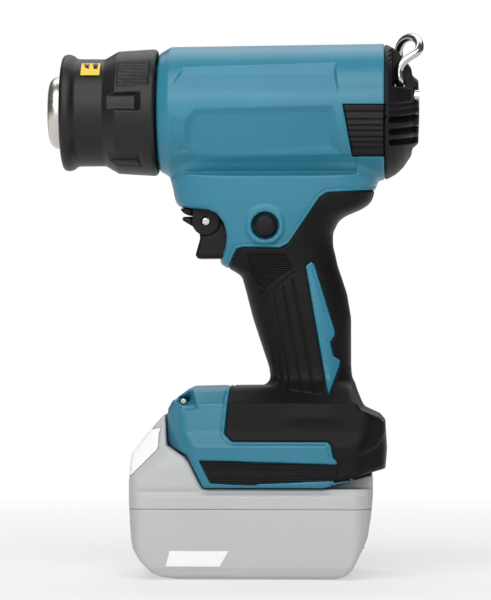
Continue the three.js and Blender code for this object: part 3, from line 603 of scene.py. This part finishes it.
def make_grips():
    """The soft overmould, with its ribbed triangle and the grooves down the palm."""
    grid = Grid((-9, -40.5, 43), (71.7, 0.7, 184), 0.45)
    outside = outer_field(grid)
    area = grid.side(GRIP_AREA, 0.25)
    inlay = grid.side(INLAY, 0.15)
    lines = np.minimum.reduce([
        grid.side(path + path[-2:0:-1] if len(path) > 2 else path) for path in PALM_GROOVES
    ])
    side = ramp(9 - grid.side_y, 3)
    triangle = grid.side(RIB_TRIANGLE)
    grooves = 0.55 * ramp(np.abs(lines) - 0.4, 0.7)
    lowered = (0.75 * np.clip(-triangle / 0.5, 0, 1) + grooves) * side
    seam = np.clip(-grid.side(FOOT_SEAM, 0.3) / 1.2, 0, 1)
    lowered = lowered + 0.6 * seam * ramp(20 - grid.side_y, 4)
    grip = both(outside + lowered, area + 0.1, 0.9)
    grip = np.maximum(grip, -(outside + SKIN))
    grip = both(grip, -(inlay - 0.1), 0.7)
    grip = np.maximum(grip, -np.maximum(grid.end(CHANNEL), slab(grid.x, -45, 57)))
    grip = np.maximum(grip, -(grid.side(TRIGGER_OPENING) - 0.2))
    left = np.maximum(grip, grid.y + groove(outside))
    add_field("grip_left_skin", grid, left, "housing", RUBBER, ["grip_left"])
    mesh = mesh_from("bored_skin", grid, np.maximum(left, -screw_bores(grid)))
    add_object("grip_right_skin", mirrored(mesh), "housing", RUBBER, ["grip_right"])


def span_at(outline, z):
    """Where a level line crosses an outline: its lowest and highest X."""
    crossings = [
        x0 + (x1 - x0) * (z - z0) / (z1 - z0)
        for (x0, z0), (x1, z1) in zip(outline, outline[1:] + outline[:1])
        if (z0 <= z) != (z1 <= z)
    ]
    return min(crossings), max(crossings)


def ribbed_plate(outline, surface, pitch, height, columns, side):
    """A thin plate with fine level ribs. surface(x, z) is how far its base stands from Y = 0."""
    low = min(z for _, z in outline) + 0.02
    high = max(z for _, z in outline) - 0.02
    rows = int((high - low) / pitch * 8)
    work = bmesh.new()
    front, back = [], []
    for i in range(rows + 1):
        z = low + (high - low) * i / rows
        x0, x1 = span_at(outline, z)
        phase = (z - low) / pitch % 1
        rise = height * max(0, math.sin(math.pi * phase)) ** 0.7
        xs = [x0 + (x1 - x0) * j / columns for j in range(columns + 1)]
        front.append([work.verts.new(Vector((x, side * (surface(x, z) + rise), z)) * MM)
                      for x in xs])
        back.append([work.verts.new(Vector((x, side * (surface(x, z) - 0.4), z)) * MM)
                     for x in xs])
    for sheet in (front, back):
        for i in range(rows):
            for j in range(columns):
                here, there = sheet[i], sheet[i + 1]
                work.faces.new((here[j], here[j + 1], there[j + 1], there[j]))
    loop = [(0, j) for j in range(columns)] + [(i, columns) for i in range(rows)]
    loop += [(rows, j) for j in range(columns, 0, -1)] + [(i, 0) for i in range(rows, 0, -1)]
    for (i, j), (k, m) in zip(loop, loop[1:] + loop[:1]):
        work.faces.new((front[i][j], back[i][j], back[k][m], front[k][m]))
    return finished(work, 50)


def body_surface(x, z):
    """How far the handle's side stands from Y = 0."""
    front, rear, half, exponent = (np.interp(z, BODY[:, 0], BODY[:, i]) for i in range(1, 5))
    u = abs(2 * x - front - rear) / (rear - front)
    return half * (1 - min(u, 0.99) ** exponent) ** (1 / exponent)


def make_ribs():
    """The ribbed triangle on the grip and the ribbed insert on the foot."""
    for name, side in SIDES:
        mesh = ribbed_plate(RIB_PLATE, lambda x, z: body_surface(x, z) - 0.6, 0.97, 0.42, 16, side)
        add_object(f"grip_ribs_{name}", mesh, "housing", RUBBER)
        mesh = ribbed_plate(FOOT_PANEL, lambda x, z: 38.7, 0.86, 0.45, 1, side)
        add_object(f"foot_ribs_{name}", mesh, "housing", BLACK, [f"foot_insert_{name}"])


def make_notch_screws():
    """The small screws in the notches at the front of the foot."""
    profile = [(26.6, 0), (26.6, 1.4), (27.6, 1.4), (28, 1.1), (28.1, 0.6), (27.6, 0.4), (27.6, 0)]
    x, z = NOTCH_SCREW
    for name, side in SIDES:
        mesh = revolved([(side * y, radius) for y, radius in profile], (x, 0, z), "y", 32)
        add_object(f"notch_screw_{name}", mesh, "housing", PLATED)


def make_grilles():
    """The louvred inlet grilles, flush with the barrel's rear."""
    grid = Grid((49, -33, 194), (70.4, -16, 220), 0.4)
    drop = np.zeros_like(grid.z)
    for top, bottom in zip(LOUVRES, LOUVRES[1:]):
        part = (grid.z <= top) & (grid.z > bottom)
        drop = np.where(part, 1.1 * (grid.z - bottom) / (top - bottom), drop)
    shape = grid.radius() - 31.5 + drop
    shape = both(shape, grid.side(SIDE_VENT, 0.2), 0.5)
    shape = np.maximum(shape, 27.6 - grid.radius())
    mesh = add_field("inlet_louvres_left", grid, shape, "housing", BLACK, ["inlet_grille_left"])
    add_object("inlet_louvres_right", mirrored(mesh), "housing", BLACK, ["inlet_grille_right"])


make_housing()
make_grips()
make_ribs()
make_notch_screws()
make_grilles()


# ---------------------------------------------------------------- nozzle

SHIELD = [
    (-81.7, 19.5), (-81.7, 25), (-81.3, 26.4), (-80.4, 27.2), (-79.2, 27.5), (-77.9, 27.4),
    (-76.4, 26.8), (-75.3, 25.9), (-74.4, 25.4), (-73.6, 25.3), (-61.6, 25.2), (-55.3, 28.8),
    (-38.6, 29.8), (-37.5, 29.5), (-36.9, 28.7), (-36.9, 25.4), (-47, 25.2), (-47, 22.9),
    (-50, 22.9), (-50, 25.2), (-56, 25), (-60.4, 22.8), (-79.2, 22.8), (-79.2, 19.5),
]
NOTCH_TURNS = (7.5, -52.5, 127.5, 187.5)  # degrees up from the left side
RIB_TURNS = (36.6, 216.6)
NOTCH_FLOOR = 26.7
LABEL_MARKS = {
    "front": [(-71, 239.2), (-69.3, 238.5), (-67.8, 239), (-68.3, 237.7), (-68, 236.6),
              (-69.7, 237.1)],
    "rear": [(-66.6, 239.2), (-64, 239.2), (-64.3, 236.5), (-65.9, 236.5)],
}


def turn_from_left(grid):
    """Angle about the barrel axis in degrees, 0 on the left side and 90 on top."""
    return np.degrees(np.arctan2(grid.z - AXIS_Z, -grid.y))


def make_shield():
    """The nozzle shield, with finger notches and ribbed patches round it."""
    grid = Grid((-83, -32.5, AXIS_Z - 32.5), (-35.5, 32.5, AXIS_Z + 32.5), 0.4)
    shell = grid.turned(SHIELD, 0.05)
    turn = turn_from_left(grid)
    around = grid.radius()
    for centre in NOTCH_TURNS:
        off = np.radians((turn - centre + 180) % 360 - 180)
        across, out = np.abs(around * np.sin(off)), around * np.cos(off)
        walls = (across - 3.1 - 0.64 * (out - NOTCH_FLOOR)) * 0.84
        rear = (grid.x + 46.2 - 1.1 * (out - NOTCH_FLOOR)) * 0.67
        notch = np.maximum(np.maximum(walls, rear), np.maximum(NOTCH_FLOOR - around, -62 - grid.x))
        shell = np.maximum(shell, -np.where(out > 0, notch, 9))
    for centre in RIB_TURNS:
        off = (turn - centre + 180) % 360 - 180
        patch = np.maximum((np.abs(off) - 14.4) * 0.5, slab(grid.x, -54.6, -39.4))
        ridge = np.abs((off + 14.3 + 0.12 * (grid.x + 47)) % 4.08 / 4.08 - 0.5) * 2
        shell = shell + (0.15 + 0.95 * ridge) * np.clip(-patch / 0.6, 0, 1) * ramp(28 - around, 1)
    add_field("nozzle_shield_body", grid, shell, "shield", SHIELD_BLACK, ["nozzle_shield"])


def make_nozzle_tube():
    """The spun steel tube with its rolled lip."""
    low, high = reach_mm("nozzle_tube")
    lip, wall, outer = 4.5, 1.0, 17.0
    centre = (low.x + lip, outer - lip)
    profile = [(high.x, outer - wall), (high.x, 24.6), (high.x - 1, 24.6), (high.x - 1, outer)]
    profile += arc(centre, lip, 90, 205, 18)
    profile += arc(centre, lip - wall, 205, 90, 12)
    mesh = revolved(profile, (0, 0, AXIS_Z), around=128)
    add_object("nozzle_tube_spun", mesh, "housing", STEEL, ["nozzle_tube"])


def make_label_marks():
    """Two plain dark marks on the yellow label."""
    corner = reach_mm("caution_label")[0]
    outer = math.hypot(corner.y, corner.z - AXIS_Z)
    for name, outline in LABEL_MARKS.items():
        mesh = ribbed_plate(outline, lambda x, z: math.sqrt(outer ** 2 - (z - AXIS_Z) ** 2) + 0.18,
                            0.9, 0.03, 4, -1)
        add_object(f"label_mark_{name}", mesh, "shield", BLACK)


make_shield()
make_nozzle_tube()
make_label_marks()


# ---------------------------------------------------------------- rear cover

COVER = [
    (69.55, 0), (69.55, 31.4), (69.8, 31.7), (71.3, 31.3), (75, 29.2), (78.3, 26.1), (80.2, 23.3),
    (82.1, 20.5), (82.6, 17.2), (85.4, 14.8), (85.9, 0),
]
COVER_INSIDE = [(60, 0), (60, 28.6), (74, 26.6), (79.6, 18), (80.2, 15.2), (83.4, 12.4), (83.4, 0)]
COVER_SLOTS = (201.5, 206.3, 211.6)
COVER_STEPS = [(213.4, 0.7), (216.4, 0.6), (219, 0.6)]  # Z of each step and its depth
# the middle line of the bent wire, from one end in the cover to the other
HOOK = [
    (76.7, -7.6, 229.5), (76.7, -10.6, 229.5), (76.6, -12.5, 230.6), (76.4, -13, 232.8),
    (76.3, -13, 235.4), (77.1, -13, 238), (79.4, -13, 240.6), (82.3, -12.8, 242.6),
    (84.9, -12, 244.4), (85.9, -10, 246.7), (85.5, -6.5, 249.5), (83.8, -2, 251.7),
    (81.2, 3, 252.3), (78.4, 8, 251.2), (76.6, 11.4, 248.4), (76.3, 12.8, 245), (76.6, 13, 240),
    (76.7, 13, 234), (76.7, 12.5, 230.6), (76.7, 10.6, 229.5), (76.7, 7.6, 229.5),
]


def make_rear_cover():
    """The slotted dome, hollow inside, with a pocket for the hook and two screw pillars."""
    grid = Grid((66, -33, AXIS_Z - 33), (88, 33, AXIS_Z + 33), 0.4)
    dome = grid.turned(COVER, 0.25)
    swoop = grid.z - 0.012 * (grid.x - 70) ** 2
    for z, depth in COVER_STEPS:
        step = np.clip(1 - (z - swoop) / 3.2, 0, 1) * (swoop < z)
        dome = dome + depth * step * ramp(12 - grid.side_y, 4)
    inside = grid.turned(COVER_INSIDE, 0.3)
    pocket = both(both(72.9 - grid.x, 227.1 - grid.z, 0.8), 9 - grid.side_y, 0.8)
    notch = both(both(83.2 - grid.x, slab(grid.z, 220.6, 228), 0.5), 8.3 - grid.side_y, 0.5)
    web = np.maximum(grid.side_y - 0.8, slab(grid.z, 196, 224))
    for solid_part in (pocket - 2.2, notch - 1.8, web):
        inside = np.maximum(inside, -solid_part)
    cover = both(dome, -inside)
    spigot = np.maximum(slab(grid.radius(), 25.6, 27), slab(grid.x, 67, 71))
    cover = np.minimum(cover, spigot)
    for z in COVER_SLOTS:
        slot = both(slab(swoop, z - 1.2, z + 1.25), 71.4 - grid.x, 1.6)
        cover = both(cover, -both(slot, 0.8 - grid.side_y, 0.4), 0.7)
    screw = middle_mm("rear_screw_left")
    pillars = np.minimum(grid.radius(-abs(screw.y), screw.z), grid.radius(abs(screw.y), screw.z))
    cover = np.minimum(cover, np.maximum(pillars - 3.4, slab(grid.x, 73, 83.3)))
    cover = both(cover, -pocket, 0.6)
    cover = both(cover, -notch, 0.5)
    fine = np.abs((grid.z - 0.9 * grid.x - 170.4) % 2.6 - 1.3) - 0.45
    fine = np.maximum(np.maximum(fine, slab(grid.x, 71.6, 78)), slab(grid.z, 239, 246))
    cover = np.maximum(cover, -np.maximum(fine, -(dome + 0.7)))
    pivot = np.sqrt((grid.x - HOOK[0][0]) ** 2 + (grid.z - HOOK[0][2]) ** 2) - 2.3
    cover = np.maximum(cover, -np.maximum(pivot, grid.side_y - 10))
    cover = np.maximum(cover, -np.maximum(pillars - 1.7, slab(grid.x, 72, 84)))
    add_field("rear_cover_dome", grid, cover, "housing", BLACK, ["rear_cover"])


def smooth_path(points, per_span):
    """Points along a Catmull-Rom curve."""
    ends = [2 * Vector(points[0]) - Vector(points[1])]
    tail = [2 * Vector(points[-1]) - Vector(points[-2])]
    knots = ends + [Vector(p) for p in points] + tail
    path = []
    for i in range(1, len(knots) - 2):
        a, b, c, d = knots[i - 1:i + 3]
        for step in range(per_span):
            t = step / per_span
            path.append(0.5 * (2 * b + (c - a) * t + (2 * a - 5 * b + 4 * c - d) * t * t
                               + (3 * b - a - 3 * c + d) * t ** 3))
    path.append(knots[-2])
    return path


def tube(path, radius, sides=20):
    """A round bar along a path, its ends slightly chamfered."""
    work = bmesh.new()
    rings = []
    across = Vector((0, 0, 1))
    last = len(path) - 1
    for i, point in enumerate(path):
        along = (path[min(i + 1, last)] - path[max(i - 1, 0)]).normalized()
        across = (across - along * across.dot(along)).normalized()
        other = along.cross(across)
        reach = radius * (0.8 if i in (0, last) else 1)
        rings.append([
            work.verts.new((point + reach * (across * math.cos(a) + other * math.sin(a))) * MM)
            for a in (2 * math.pi * k / sides for k in range(sides))
        ])
    for here, there in zip(rings, rings[1:]):
        for k in range(sides):
            work.faces.new((here[k], here[(k + 1) % sides], there[(k + 1) % sides], there[k]))
    work.faces.new(rings[0][::-1])
    work.faces.new(rings[-1])
    return finished(work, 50)


def make_hook():
    wire = tube(smooth_path(HOOK, 6), 1.95)
    add_object("hook_wire", wire, "hook", CHROME, ["hook"])


make_rear_cover()
make_hook()


# ---------------------------------------------------------------- trigger and lock button

TRIGGER = [
    (-18.4, 170.2), (-12.9, 170.3), (-9.5, 168.7), (-5.2, 165.2), (-1.2, 162), (0, 160),
    (-0.4, 155), (-1, 150.5), (-2.5, 148.2), (-17.6, 148.1), (-18.8, 149.7), (-16.6, 157.5),
    (-16.9, 159.6), (-18.7, 162.4), (-21.2, 163.8), (-25, 166.1), (-24.7, 167.7), (-19.4, 167.9),
]
BRACKET_LIP = [
    (-25.8, 171.7), (-25.2, 170.2), (-23.5, 168.9), (-20.4, 168.3), (-20.4, 174.5),
    (-21.5, 174.5), (-21.5, 171.7),
]


def make_trigger():
    """The trigger's blade, slotted for the ears of its bracket."""
    grid = Grid((-27, -13.4, 146.5), (1.5, 13.4, 172), 0.4)
    pin = grid.round_y(PIVOT.x, PIVOT.z, 0)
    blade = both(grid.side(TRIGGER, 0.3), grid.side_y - 12.4, 2.6)
    ears = np.minimum(pin - 6.75, np.maximum(np.abs(grid.x - PIVOT.x) - 6.9, PIVOT.z - grid.z))
    blade = both(blade, -np.maximum(ears, 9.8 - grid.side_y), 0.1)
    blade = np.maximum(blade, 2.4 - pin)
    add_field("trigger_blade", grid, blade, "trigger", BLACK, ["trigger"])


def make_bracket():
    """The ears that hold the trigger's pin, hung from a plate with a curled lip."""
    grid = Grid((-27, -13, 158), (-5, 13, 175.5), 0.4)
    pin = grid.round_y(PIVOT.x, PIVOT.z, 0)
    ear = np.minimum(pin - 6.5, np.maximum(np.abs(grid.x - PIVOT.x) - 6.2,
                                           slab(grid.z, PIVOT.z, 174.5)))
    bracket = both(ear, slab(grid.side_y, 10.2, 12.38), 0.12)
    plate = np.maximum(slab(grid.x, -21.5, -6), slab(grid.z, 172.4, 174.5))
    lip = both(np.minimum(plate, grid.side(BRACKET_LIP, 0.2)), grid.side_y - 12.3, 1.5)
    bracket = np.maximum(np.minimum(bracket, lip), 2.2 - pin)
    add_field("bracket_body", grid, bracket, "housing", BLACK, ["trigger_bracket"])


def make_pin():
    """The pivot pin, domed and slotted at both ends."""
    low, high = reach_mm("trigger_pin")
    grid = Grid((PIVOT.x - 2.6, low.y - 0.4, PIVOT.z - 2.6),
                (PIVOT.x + 2.6, high.y + 0.4, PIVOT.z + 2.6), 0.22)
    pin = grid.round_y(PIVOT.x, PIVOT.z, 2)
    dome = 4.2
    out = grid.round_y(PIVOT.x, PIVOT.z, 0)
    pin = both(pin, np.sqrt(out ** 2 + (grid.side_y - high.y + dome) ** 2) - dome, 0.3)
    lean = (grid.z - PIVOT.z) * 0.9 - (grid.x - PIVOT.x) * 0.44
    pin = both(pin, -np.maximum(np.abs(lean) - 0.3, high.y - 0.55 - grid.side_y), 0.2)
    add_field("pivot_pin", grid, pin, "housing", STEEL, ["trigger_pin"])


def make_lock_button():
    """The cross bolt, domed at both ends and waisted inside the housing."""
    low, high = reach_mm("lock_button")
    profile = [(low.y, 0), (low.y, 3.4), (low.y + 0.2, 4.1), (low.y + 1, 4.9), (low.y + 2, 5.2)]
    profile += [(-13.5, 5.35), (-13.5, 3.5), (11.5, 3.5), (11.5, 5.35), (high.y - 2, 5.35)]
    profile += [(high.y - 1.2, 5.1), (high.y - 0.25, 4), (high.y, 3.2), (high.y, 0)]
    bolt = revolved(profile, (BUTTON.x, 0, BUTTON.z), "y", 72)
    add_object("lock_bolt", bolt, "lock", BLACK, ["lock_button"])


make_trigger()
make_bracket()
make_pin()
make_lock_button()


# ---------------------------------------------------------------- battery

BATTERY_SIDE = [
    (-26, 0), (47, 0), (51.7, 1.4), (55, 5), (58.3, 11.5), (61.8, 19), (63.4, 28.9), (64.1, 36),
    (64.1, 43), (63.7, 48), (56.5, 46), (42, 41.9), (-14, 41.9), (-20, 53.6), (-22.4, 56.5),
    (-31, 61.6), (-32.2, 76.3), (-39.7, 67.7), (-47.5, 57.6), (-49.4, 44.7), (-49.4, 35.6),
    (-47.6, 18.7), (-46.5, 14), (-42.5, 8.2), (-37.2, 2.9), (-33.5, 0.9),
]
BATTERY_END = [
    (31.5, -5), (31.5, 0), (36, 1.8), (37.4, 6), (37.5, 38.4), (36.6, 39.3), (35.8, 40.3),
    (36.3, 41.6), (36.6, 43), (36.5, 52), (34.5, 62), (32, 77),
]
BATTERY_PLAN = [
    (-51, 15.5), (-49.4, 25), (-48.3, 31.5), (-42.8, 39), (55.9, 39), (62.4, 32.6), (64.1, 26),
    (65.7, 19.8),
]
# White patches on the sloping front corners: partly the white of the latch, partly a painted
# highlight where the rounded corner facet catches the light.
LATCH_AND_HIGHLIGHT_PATCH = [(-51, 44.2), (-49.6, 45.5), (-34.9, 60), (-34.7, 67), (-33.3, 70.3), (-60, 62)]
STRIPE = [(-29, 13.6), (-1.9, 13.6), (-6, 6.4), (-30.8, 6.4)]
BATTERY_SCREWS = [f"battery_screw_{i}" for i in range(1, 5)]
BATTERY_SCREW_SEAT = 15.8
CASE_WALL = 2.0
PARTING_Z = 32.6


def mirrored_outline(half, across=0):
    """A half outline completed with its mirror image in the given column."""
    flip = [(-u, v) if across == 0 else (u, -v) for u, v in reversed(half)]
    return half + flip


def battery_field(grid):
    """The outside of the battery, with the cut corners of its sloping front."""
    side = grid.side(BATTERY_SIDE, 0.3)
    end = grid.end(mirrored_outline(BATTERY_END), 0.2)
    plan = grid.plan(mirrored_outline(BATTERY_PLAN, 1), 0.6)
    case = both(both(side, end, 2.5), plan, 2.5)
    up_slope = -0.594 * (grid.x + 41.5) + 0.805 * (grid.z - 46.2)
    corner = (grid.side_y + 0.85 * up_slope - 37) / 1.31
    case = both(case, np.where(grid.z > 43, corner, corner - (43 - grid.z) * 0.6), 1.6)
    beside_rim = np.maximum(np.maximum(42 - grid.x, 24.4 - grid.side_y), 41.9 - grid.z)
    return np.maximum(case, -beside_rim)


def make_battery():
    """The two halves of the battery's case and the white patches on its front corners, partly the
    latch's white and partly a painted highlight.
    """
    grid = Grid((-50.5, -38.4, -0.8), (65.2, 38.4, 77.4), 0.6)
    outside = battery_field(grid)
    tongue = np.minimum(
        both(both(slab(grid.x, -24, 55), grid.side_y - 24, 0.8), slab(grid.z, 41, 51), 0.5),
        both(both(slab(grid.x, -24, 55), grid.side_y - 29, 0.8), slab(grid.z, 50, 57), 0.8),
    )
    screws = [middle_mm(name) for name in BATTERY_SCREWS]
    bosses = np.minimum.reduce([grid.round_z(screw.x, screw.y, 4.2) for screw in screws])
    bores = np.minimum.reduce([
        np.minimum(np.maximum(grid.round_z(screw.x, screw.y, 2.75), grid.z - BATTERY_SCREW_SEAT),
                   np.maximum(grid.round_z(screw.x, screw.y, 1.4), grid.z - 38))
        for screw in screws
    ])
    hollow = np.maximum(outside + CASE_WALL, -np.maximum(bosses, grid.z - 39))
    pocket = np.maximum(slab(grid.x, -46.4, -34.2), np.maximum(grid.side_y - 16.4, 44 - grid.z))
    lining = np.maximum(slab(grid.x, -48, -32.6), np.maximum(grid.side_y - 18, 42.4 - grid.z))
    hollow = np.maximum(hollow, -lining)
    under_tongue = np.maximum(slab(grid.x, -16, 28),
                              np.maximum(grid.side_y - 21.5, slab(grid.z, 38, 54.6)))
    slots = np.maximum(slab(grid.x, 30, 60),
                       np.maximum(slab(grid.side_y, 12.8, 15.2), slab(grid.z, 50.8, 60)))
    latch_and_highlight_patch = np.maximum(grid.side(LATCH_AND_HIGHLIGHT_PATCH, 0.3), 17.2 - grid.side_y)
    recess = np.maximum(latch_and_highlight_patch - 0.15, -(outside + 0.8))
    case = np.minimum(outside, tongue)
    for space in (hollow, pocket, under_tongue, slots, bores, recess):
        case = np.maximum(case, -space)
    gap = groove(outside, CASE_HALF_GAP)
    for name, beyond in (("upper", PARTING_Z - grid.z), ("lower", grid.z - PARTING_Z)):
        add_field(f"pack_case_{name}", grid, np.maximum(case, beyond + gap), "battery",
                  GREY, [f"battery_case_{name}"])
    # This white inlay is partly the latch's white and partly a painted highlight on the corner
    # facet.
    inlay = np.maximum(both(outside - 0.05, latch_and_highlight_patch, 0.5), -(outside + 0.7))
    mesh = add_field("pack_latch_and_highlight_left", grid, np.maximum(inlay, grid.y), "battery", WHITE)
    add_object("pack_latch_and_highlight_right", mirrored(mesh), "battery", WHITE)


def make_stripes():
    """The plain white plates low on the battery's sides."""
    for name, side in SIDES:
        plate = ribbed_plate(STRIPE, lambda x, z: 37.55, 3, 0.05, 4, side)
        add_object(f"pack_stripe_{name}", plate, "battery", WHITE)


make_battery()
make_stripes()


# ---------------------------------------------------------------- carried-over nodes

# shield_collar, a steel ring, takes the black nylon as painted shade for the gap between the shield
# and the barrel.
CARRIED = {
    BLACK: ["switch_body", "terminal_block", "air_guide", "motor_mount", "impeller",
            "shield_collar"],
    PLATED: ["rear_screw_left", "rear_screw_right", "thermal_cutoff", "motor", "motor_shaft",
             "trigger_spring", "latch_spring", *HOUSING_SCREWS, *BATTERY_SCREWS],
    MICA: ["heater_sleeve", "heater_former"],
    DARK_WIRE: ["heater_coil"],
    CERAMIC: ["heater_base", "switch_plunger"],
    BOARD: ["control_board", "battery_board"],
    BRASS: ["terminal_plus", "terminal_minus"],
    WHITE: ["battery_latch"],
    YELLOW: ["caution_label"],
    WRAP: ["battery_cells"],
}
for material, names in CARRIED.items():
    for name in names:
        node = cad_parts[name]
        node.data.materials.clear()
        node.data.materials.append(material)


# ---------------------------------------------------------------- studio

# name, place, aim, size and brightness, in metres
SOFTBOXES = [
    ("key_softbox", (-0.1, -0.42, 0.86), (-0.05, 0, 0.18), (1.0, 0.3), 3.6),
    ("eye_softbox", (-0.05, -0.9, 0.24), (-0.05, 0, 0.2), (0.7, 0.16), 1.5),
    ("strip_softbox", (-0.1, -0.8, 0.62), (-0.05, 0, 0.2), (1.2, 0.1), 7),
    ("fill_softbox", (-0.2, -1.7, 0.9), (0, 0, 0.15), (2.6, 1.6), 1.15),
    ("top_softbox", (0, 0.6, 1.2), (0, 0, 0.12), (1.4, 0.8), 2),
    ("back_softbox", (0.2, 1.6, 0.9), (0, 0, 0.15), (1.2, 0.9), 0.8),
]
FLOOR_RADIUS = 4


def area_light(name, place, aim, size, radiance):
    """A softbox whose face has the given brightness."""
    lamp = bpy.data.lights.new(name, "AREA")
    lamp.shape = "RECTANGLE"
    lamp.size, lamp.size_y = size
    lamp.energy = radiance * math.pi * size[0] * size[1]
    obj = bpy.data.objects.new(name, lamp)
    bpy.context.scene.collection.objects.link(obj)
    obj.location = place
    obj.rotation_euler = (Vector(aim) - Vector(place)).to_track_quat("-Z", "Y").to_euler()
    obj.visible_camera = False


def make_camera():
    distance, turn = 1.5, math.radians(2.6)
    aim = Vector((0.0042, 0, 0.1288))
    camera = bpy.data.cameras.new("camera")
    camera.lens = 191.3
    camera.sensor_width = 36
    obj = bpy.data.objects.new("camera", camera)
    bpy.context.scene.collection.objects.link(obj)
    obj.location = aim + Vector((math.sin(turn), -math.cos(turn), 0)) * distance
    obj.rotation_euler = (aim - obj.location).to_track_quat("-Z", "Y").to_euler()
    bpy.context.scene.camera = obj


def floor_material():
    """Pale and matt under the tool, fading to plain white further out."""
    nodes = Nodes("studio_floor")
    nodes.shader.inputs["Base Color"].default_value = (0.8, 0.8, 0.8, 1)
    nodes.shader.inputs["Roughness"].default_value = 0.9
    nodes.shader.inputs["Specular IOR Level"].default_value = 0.1
    reach = nodes.add("ShaderNodeVectorMath", operation="LENGTH")
    nodes.link(nodes.place, reach.inputs[0])
    glow = nodes.spread(reach.outputs["Value"], 0.5, 1, 0.1, 0.6)
    white = nodes.add("ShaderNodeEmission")
    mix = nodes.add("ShaderNodeMixShader")
    nodes.link(glow, mix.inputs["Fac"])
    nodes.link(nodes.shader.outputs["BSDF"], mix.inputs[1])
    nodes.link(white.outputs["Emission"], mix.inputs[2])
    nodes.link(mix.outputs["Shader"], nodes.tree.nodes["Material Output"].inputs["Surface"])
    return nodes.material


def make_floor():
    mesh = bpy.data.meshes.new("floor")
    rim = [(FLOOR_RADIUS * math.cos(a), FLOOR_RADIUS * math.sin(a), 0)
           for a in np.linspace(0, 2 * math.pi, 64, False)]
    mesh.from_pydata(rim, [], [tuple(range(len(rim)))])
    mesh.materials.append(floor_material())
    obj = bpy.data.objects.new("floor", mesh)
    bpy.context.scene.collection.objects.link(obj)


def make_studio():
    make_floor()
    world = bpy.data.worlds.new("studio")
    bpy.context.scene.world = world
    world.use_nodes = True
    tree = world.node_tree
    dim = tree.nodes["Background"]
    dim.inputs["Color"].default_value = (0.12, 0.12, 0.12, 1)
    white = tree.nodes.new("ShaderNodeBackground")
    white.inputs["Color"].default_value = (1, 1, 1, 1)
    seen = tree.nodes.new("ShaderNodeLightPath")
    mix = tree.nodes.new("ShaderNodeMixShader")
    tree.links.new(seen.outputs["Is Camera Ray"], mix.inputs["Fac"])
    tree.links.new(dim.outputs["Background"], mix.inputs[1])
    tree.links.new(white.outputs["Background"], mix.inputs[2])
    tree.links.new(mix.outputs["Shader"], tree.nodes["World Output"].inputs["Surface"])
    for softbox in SOFTBOXES:
        area_light(*softbox)
    bpy.context.scene.view_settings.view_transform = "Standard"


make_camera()
make_studio()
